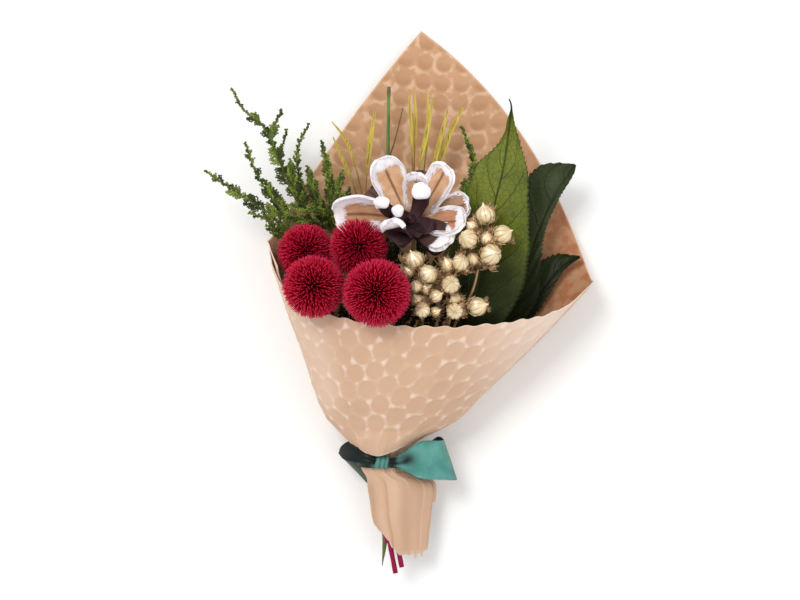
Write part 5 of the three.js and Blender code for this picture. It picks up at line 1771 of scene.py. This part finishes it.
def buildLeaves():
    for name, spec in broadLeaves.items():
        rib = smoothLine(spec["rib"], leaf["columns"] + 1)
        length = lineLength(rib)
        flat, side = across(np.gradient(rib, axis=0), np.array(spec["face"]))
        u = np.linspace(0, 1, leaf["columns"] + 1)[:, None]
        share = np.linspace(-1, 1, leaf["rows"] + 1)[None, :]
        left, right = [between(spec["widths"], u[:, 0], c)[:, None] for c in (1, 2)]
        wide = np.where(share < 0, right, left)
        # saw teeth that lean towards the tip, uneven in size
        tooth = u * length / leaf["toothPitch"] + 0.35 * np.sin(u * 31)
        notch = leaf["toothDepth"] * (1 - tooth % 1) * (0.75 + 0.25 * np.sin(u * 47))
        wide = wide - notch * smoothstep(np.abs(share), 0.8, 1) * smoothstep(wide, 1, 4)
        reachShare = np.abs(share)
        bend = veinRule["bend"] * reachShare ** veinRule["curve"]
        phase = (u - bend) * leaf["pairs"][name] + np.where(share < 0, veinRule["shift"], 0)
        puff = leaf["puff"] * (np.cos(2 * math.pi * phase) * 0.5 + 0.5) * reachShare * (1 - reachShare) * 4
        midVein = np.exp(-((share * wide / 0.7) ** 2))
        lift = leaf["fold"] * wide * share**2 + leaf["wave"] * np.sin(u * 8) * share**2
        lift = lift + 0.35 * np.sin(u * 26 + share * 3) * share**2
        lift = lift + puff * smoothstep(wide, 2, 6) - 0.3 * midVein
        grid = sweep(rib, side, -wide * share, flat, lift)
        shape = Shape()
        margin = smoothstep(reachShare, 0.93, 1) + 0 * u
        span = np.abs(wide)
        addBlade(shape, grid, leaf["thickness"], along=u, across=share, span=span, margin=margin)
        stalk = stemLine(spec["slot"], spec["via"] + [spec["rib"][0], rib[int(0.12 * leaf["columns"])]])
        addTube(shape, stalk, np.linspace(1.0, 0.6, len(stalk)), 9, margin=0.3, span=9, across=0.9)
        # the midrib stands proud of the back of the blade
        under = rib - flat * 0.35
        addTube(shape, under[::4], np.linspace(0.6, 0.14, len(under[::4])), 6, span=9, across=0.9)
        if name == "front":
            drip = smoothLine(leaf["drip"], 8)
            addTube(shape, drip, np.linspace(0.45, 0.28, 8), 6, margin=1.0, span=9, across=0.9)
        label = "leaf" + name.capitalize()
        settle(makePiece(label, shape, leafFinishes[label]), "leaf", "leaf_" + name)


buildLeaves()
print("leaves ready")

# ---- golden grass and the green twig ----
grassTufts = {
    "left": {
        "slot": (-1, -2), "via": [(-10, -34, 4.6), (-15, 10, 4.8)], "fork": (-16, 36, 8),
        "blades": [[(-18, 52, 13), (-24, 71, 18), (-30.4, 79.6, 20), 1.4],
                   [(-21, 52, 12), (-27, 66, 15), (-30, 73, 17), 1.5],
                   [(-15, 56, 12), (-13.4, 70, 15), (-11, 85.6, 17), 2.2]],
    },
    "right": {
        "slot": (0, -2), "via": [(-1, -34, 4.4), (5, 10, 4.4)], "fork": (7, 40, 8),
        "blades": [[(5.6, 60, 12), (5, 76, 14), (4, 92, 15), 1.5],
                   [(6.4, 62, 10), (7, 78, 11), (6.6, 95.6, 11.4), 1.5],
                   [(11, 60, 11), (12.4, 76, 12.4), (12.6, 94.6, 12.6), 1.5],
                   [(9, 62, 14.4), (11.4, 72, 16), (14.8, 90, 17.6), 2.2],
                   [(15, 60, 13), (18, 72, 15.4), (21.4, 85, 17), 2.2],
                   [(18, 62, 11.4), (23, 76, 13), (29, 87.6, 14), 2.4]],
    },
}
twig = {"slot": (0, 0), "via": [(-8, -34, 11.6), (-8, 0, 12), (-6, 40, 12)], "top": (-5, 95.6, 15),
        "side": [(-5, 64, 12.4), (-2.8, 70, 14), (1.3, 86, 15.4)], "radius": 1.1}


def buildGrass():
    for name, tuft in grassTufts.items():
        route = stemLine(tuft["slot"], tuft["via"] + [tuft["fork"]])
        shape = Shape()
        addTube(shape, route, np.linspace(0.95, 0.7, len(route)), 8, husk=0.0)
        for k, (foot, middle, tip, width) in enumerate(tuft["blades"]):
            start = route[int((1 - 0.02 * k) * (len(route) - 1))]
            line = smoothLine([start, foot, middle, tip], 41)
            u = np.linspace(0, 1, 41)
            addTube(shape, line[:30], np.linspace(0.4, 0.24, 30), 6, husk=0.15, brown=0.55)
            # a folded husk, open towards the viewer, on the upper part of its stalk
            flat, side = across(np.gradient(line, axis=0), [0, 0, 1])
            half = (width / 2) * np.maximum(0.12, np.sin(math.pi * np.clip((u - 0.42) / 0.62, 0, 1)))
            share = np.linspace(-1, 1, 7)[None, :]
            rise = 0.4 * half[:, None] * np.abs(share) + 0.3
            grid = sweep(line, side, -half[:, None] * share, flat, rise)
            stripe = np.clip(np.abs(share) * 1.2 - 0.3, 0, 1) + 0 * u[:, None]
            brown = 0.6 * (1 - smoothstep(u[14:, None], 0.4, 0.62))
            addBlade(shape, grid[14:], 0.22, husk=stripe[14:], brown=brown)
        settle(makePiece("grass" + name.capitalize(), shape, grassGold), "grass", "grass_" + name)


def buildTwig():
    shape = Shape()
    line = stemLine(twig["slot"], twig["via"] + [twig["top"]])
    places = np.arange(len(line))
    swell = np.exp(-(((places % 14) - 7) / 0.9) ** 2)
    radius = np.linspace(twig["radius"], 0.72, len(line)) * (1 + 0.22 * swell)
    addTube(shape, line, radius, 12, knot=swell)
    side = smoothLine(twig["side"], 14)
    addTube(shape, side, np.linspace(0.4, 0.22, 14), 7, knot=1.0)
    settle(makePiece("greenTwig", shape, twigGreen), "twig", "green_twig")


buildGrass()
buildTwig()
print("grass and twig ready")
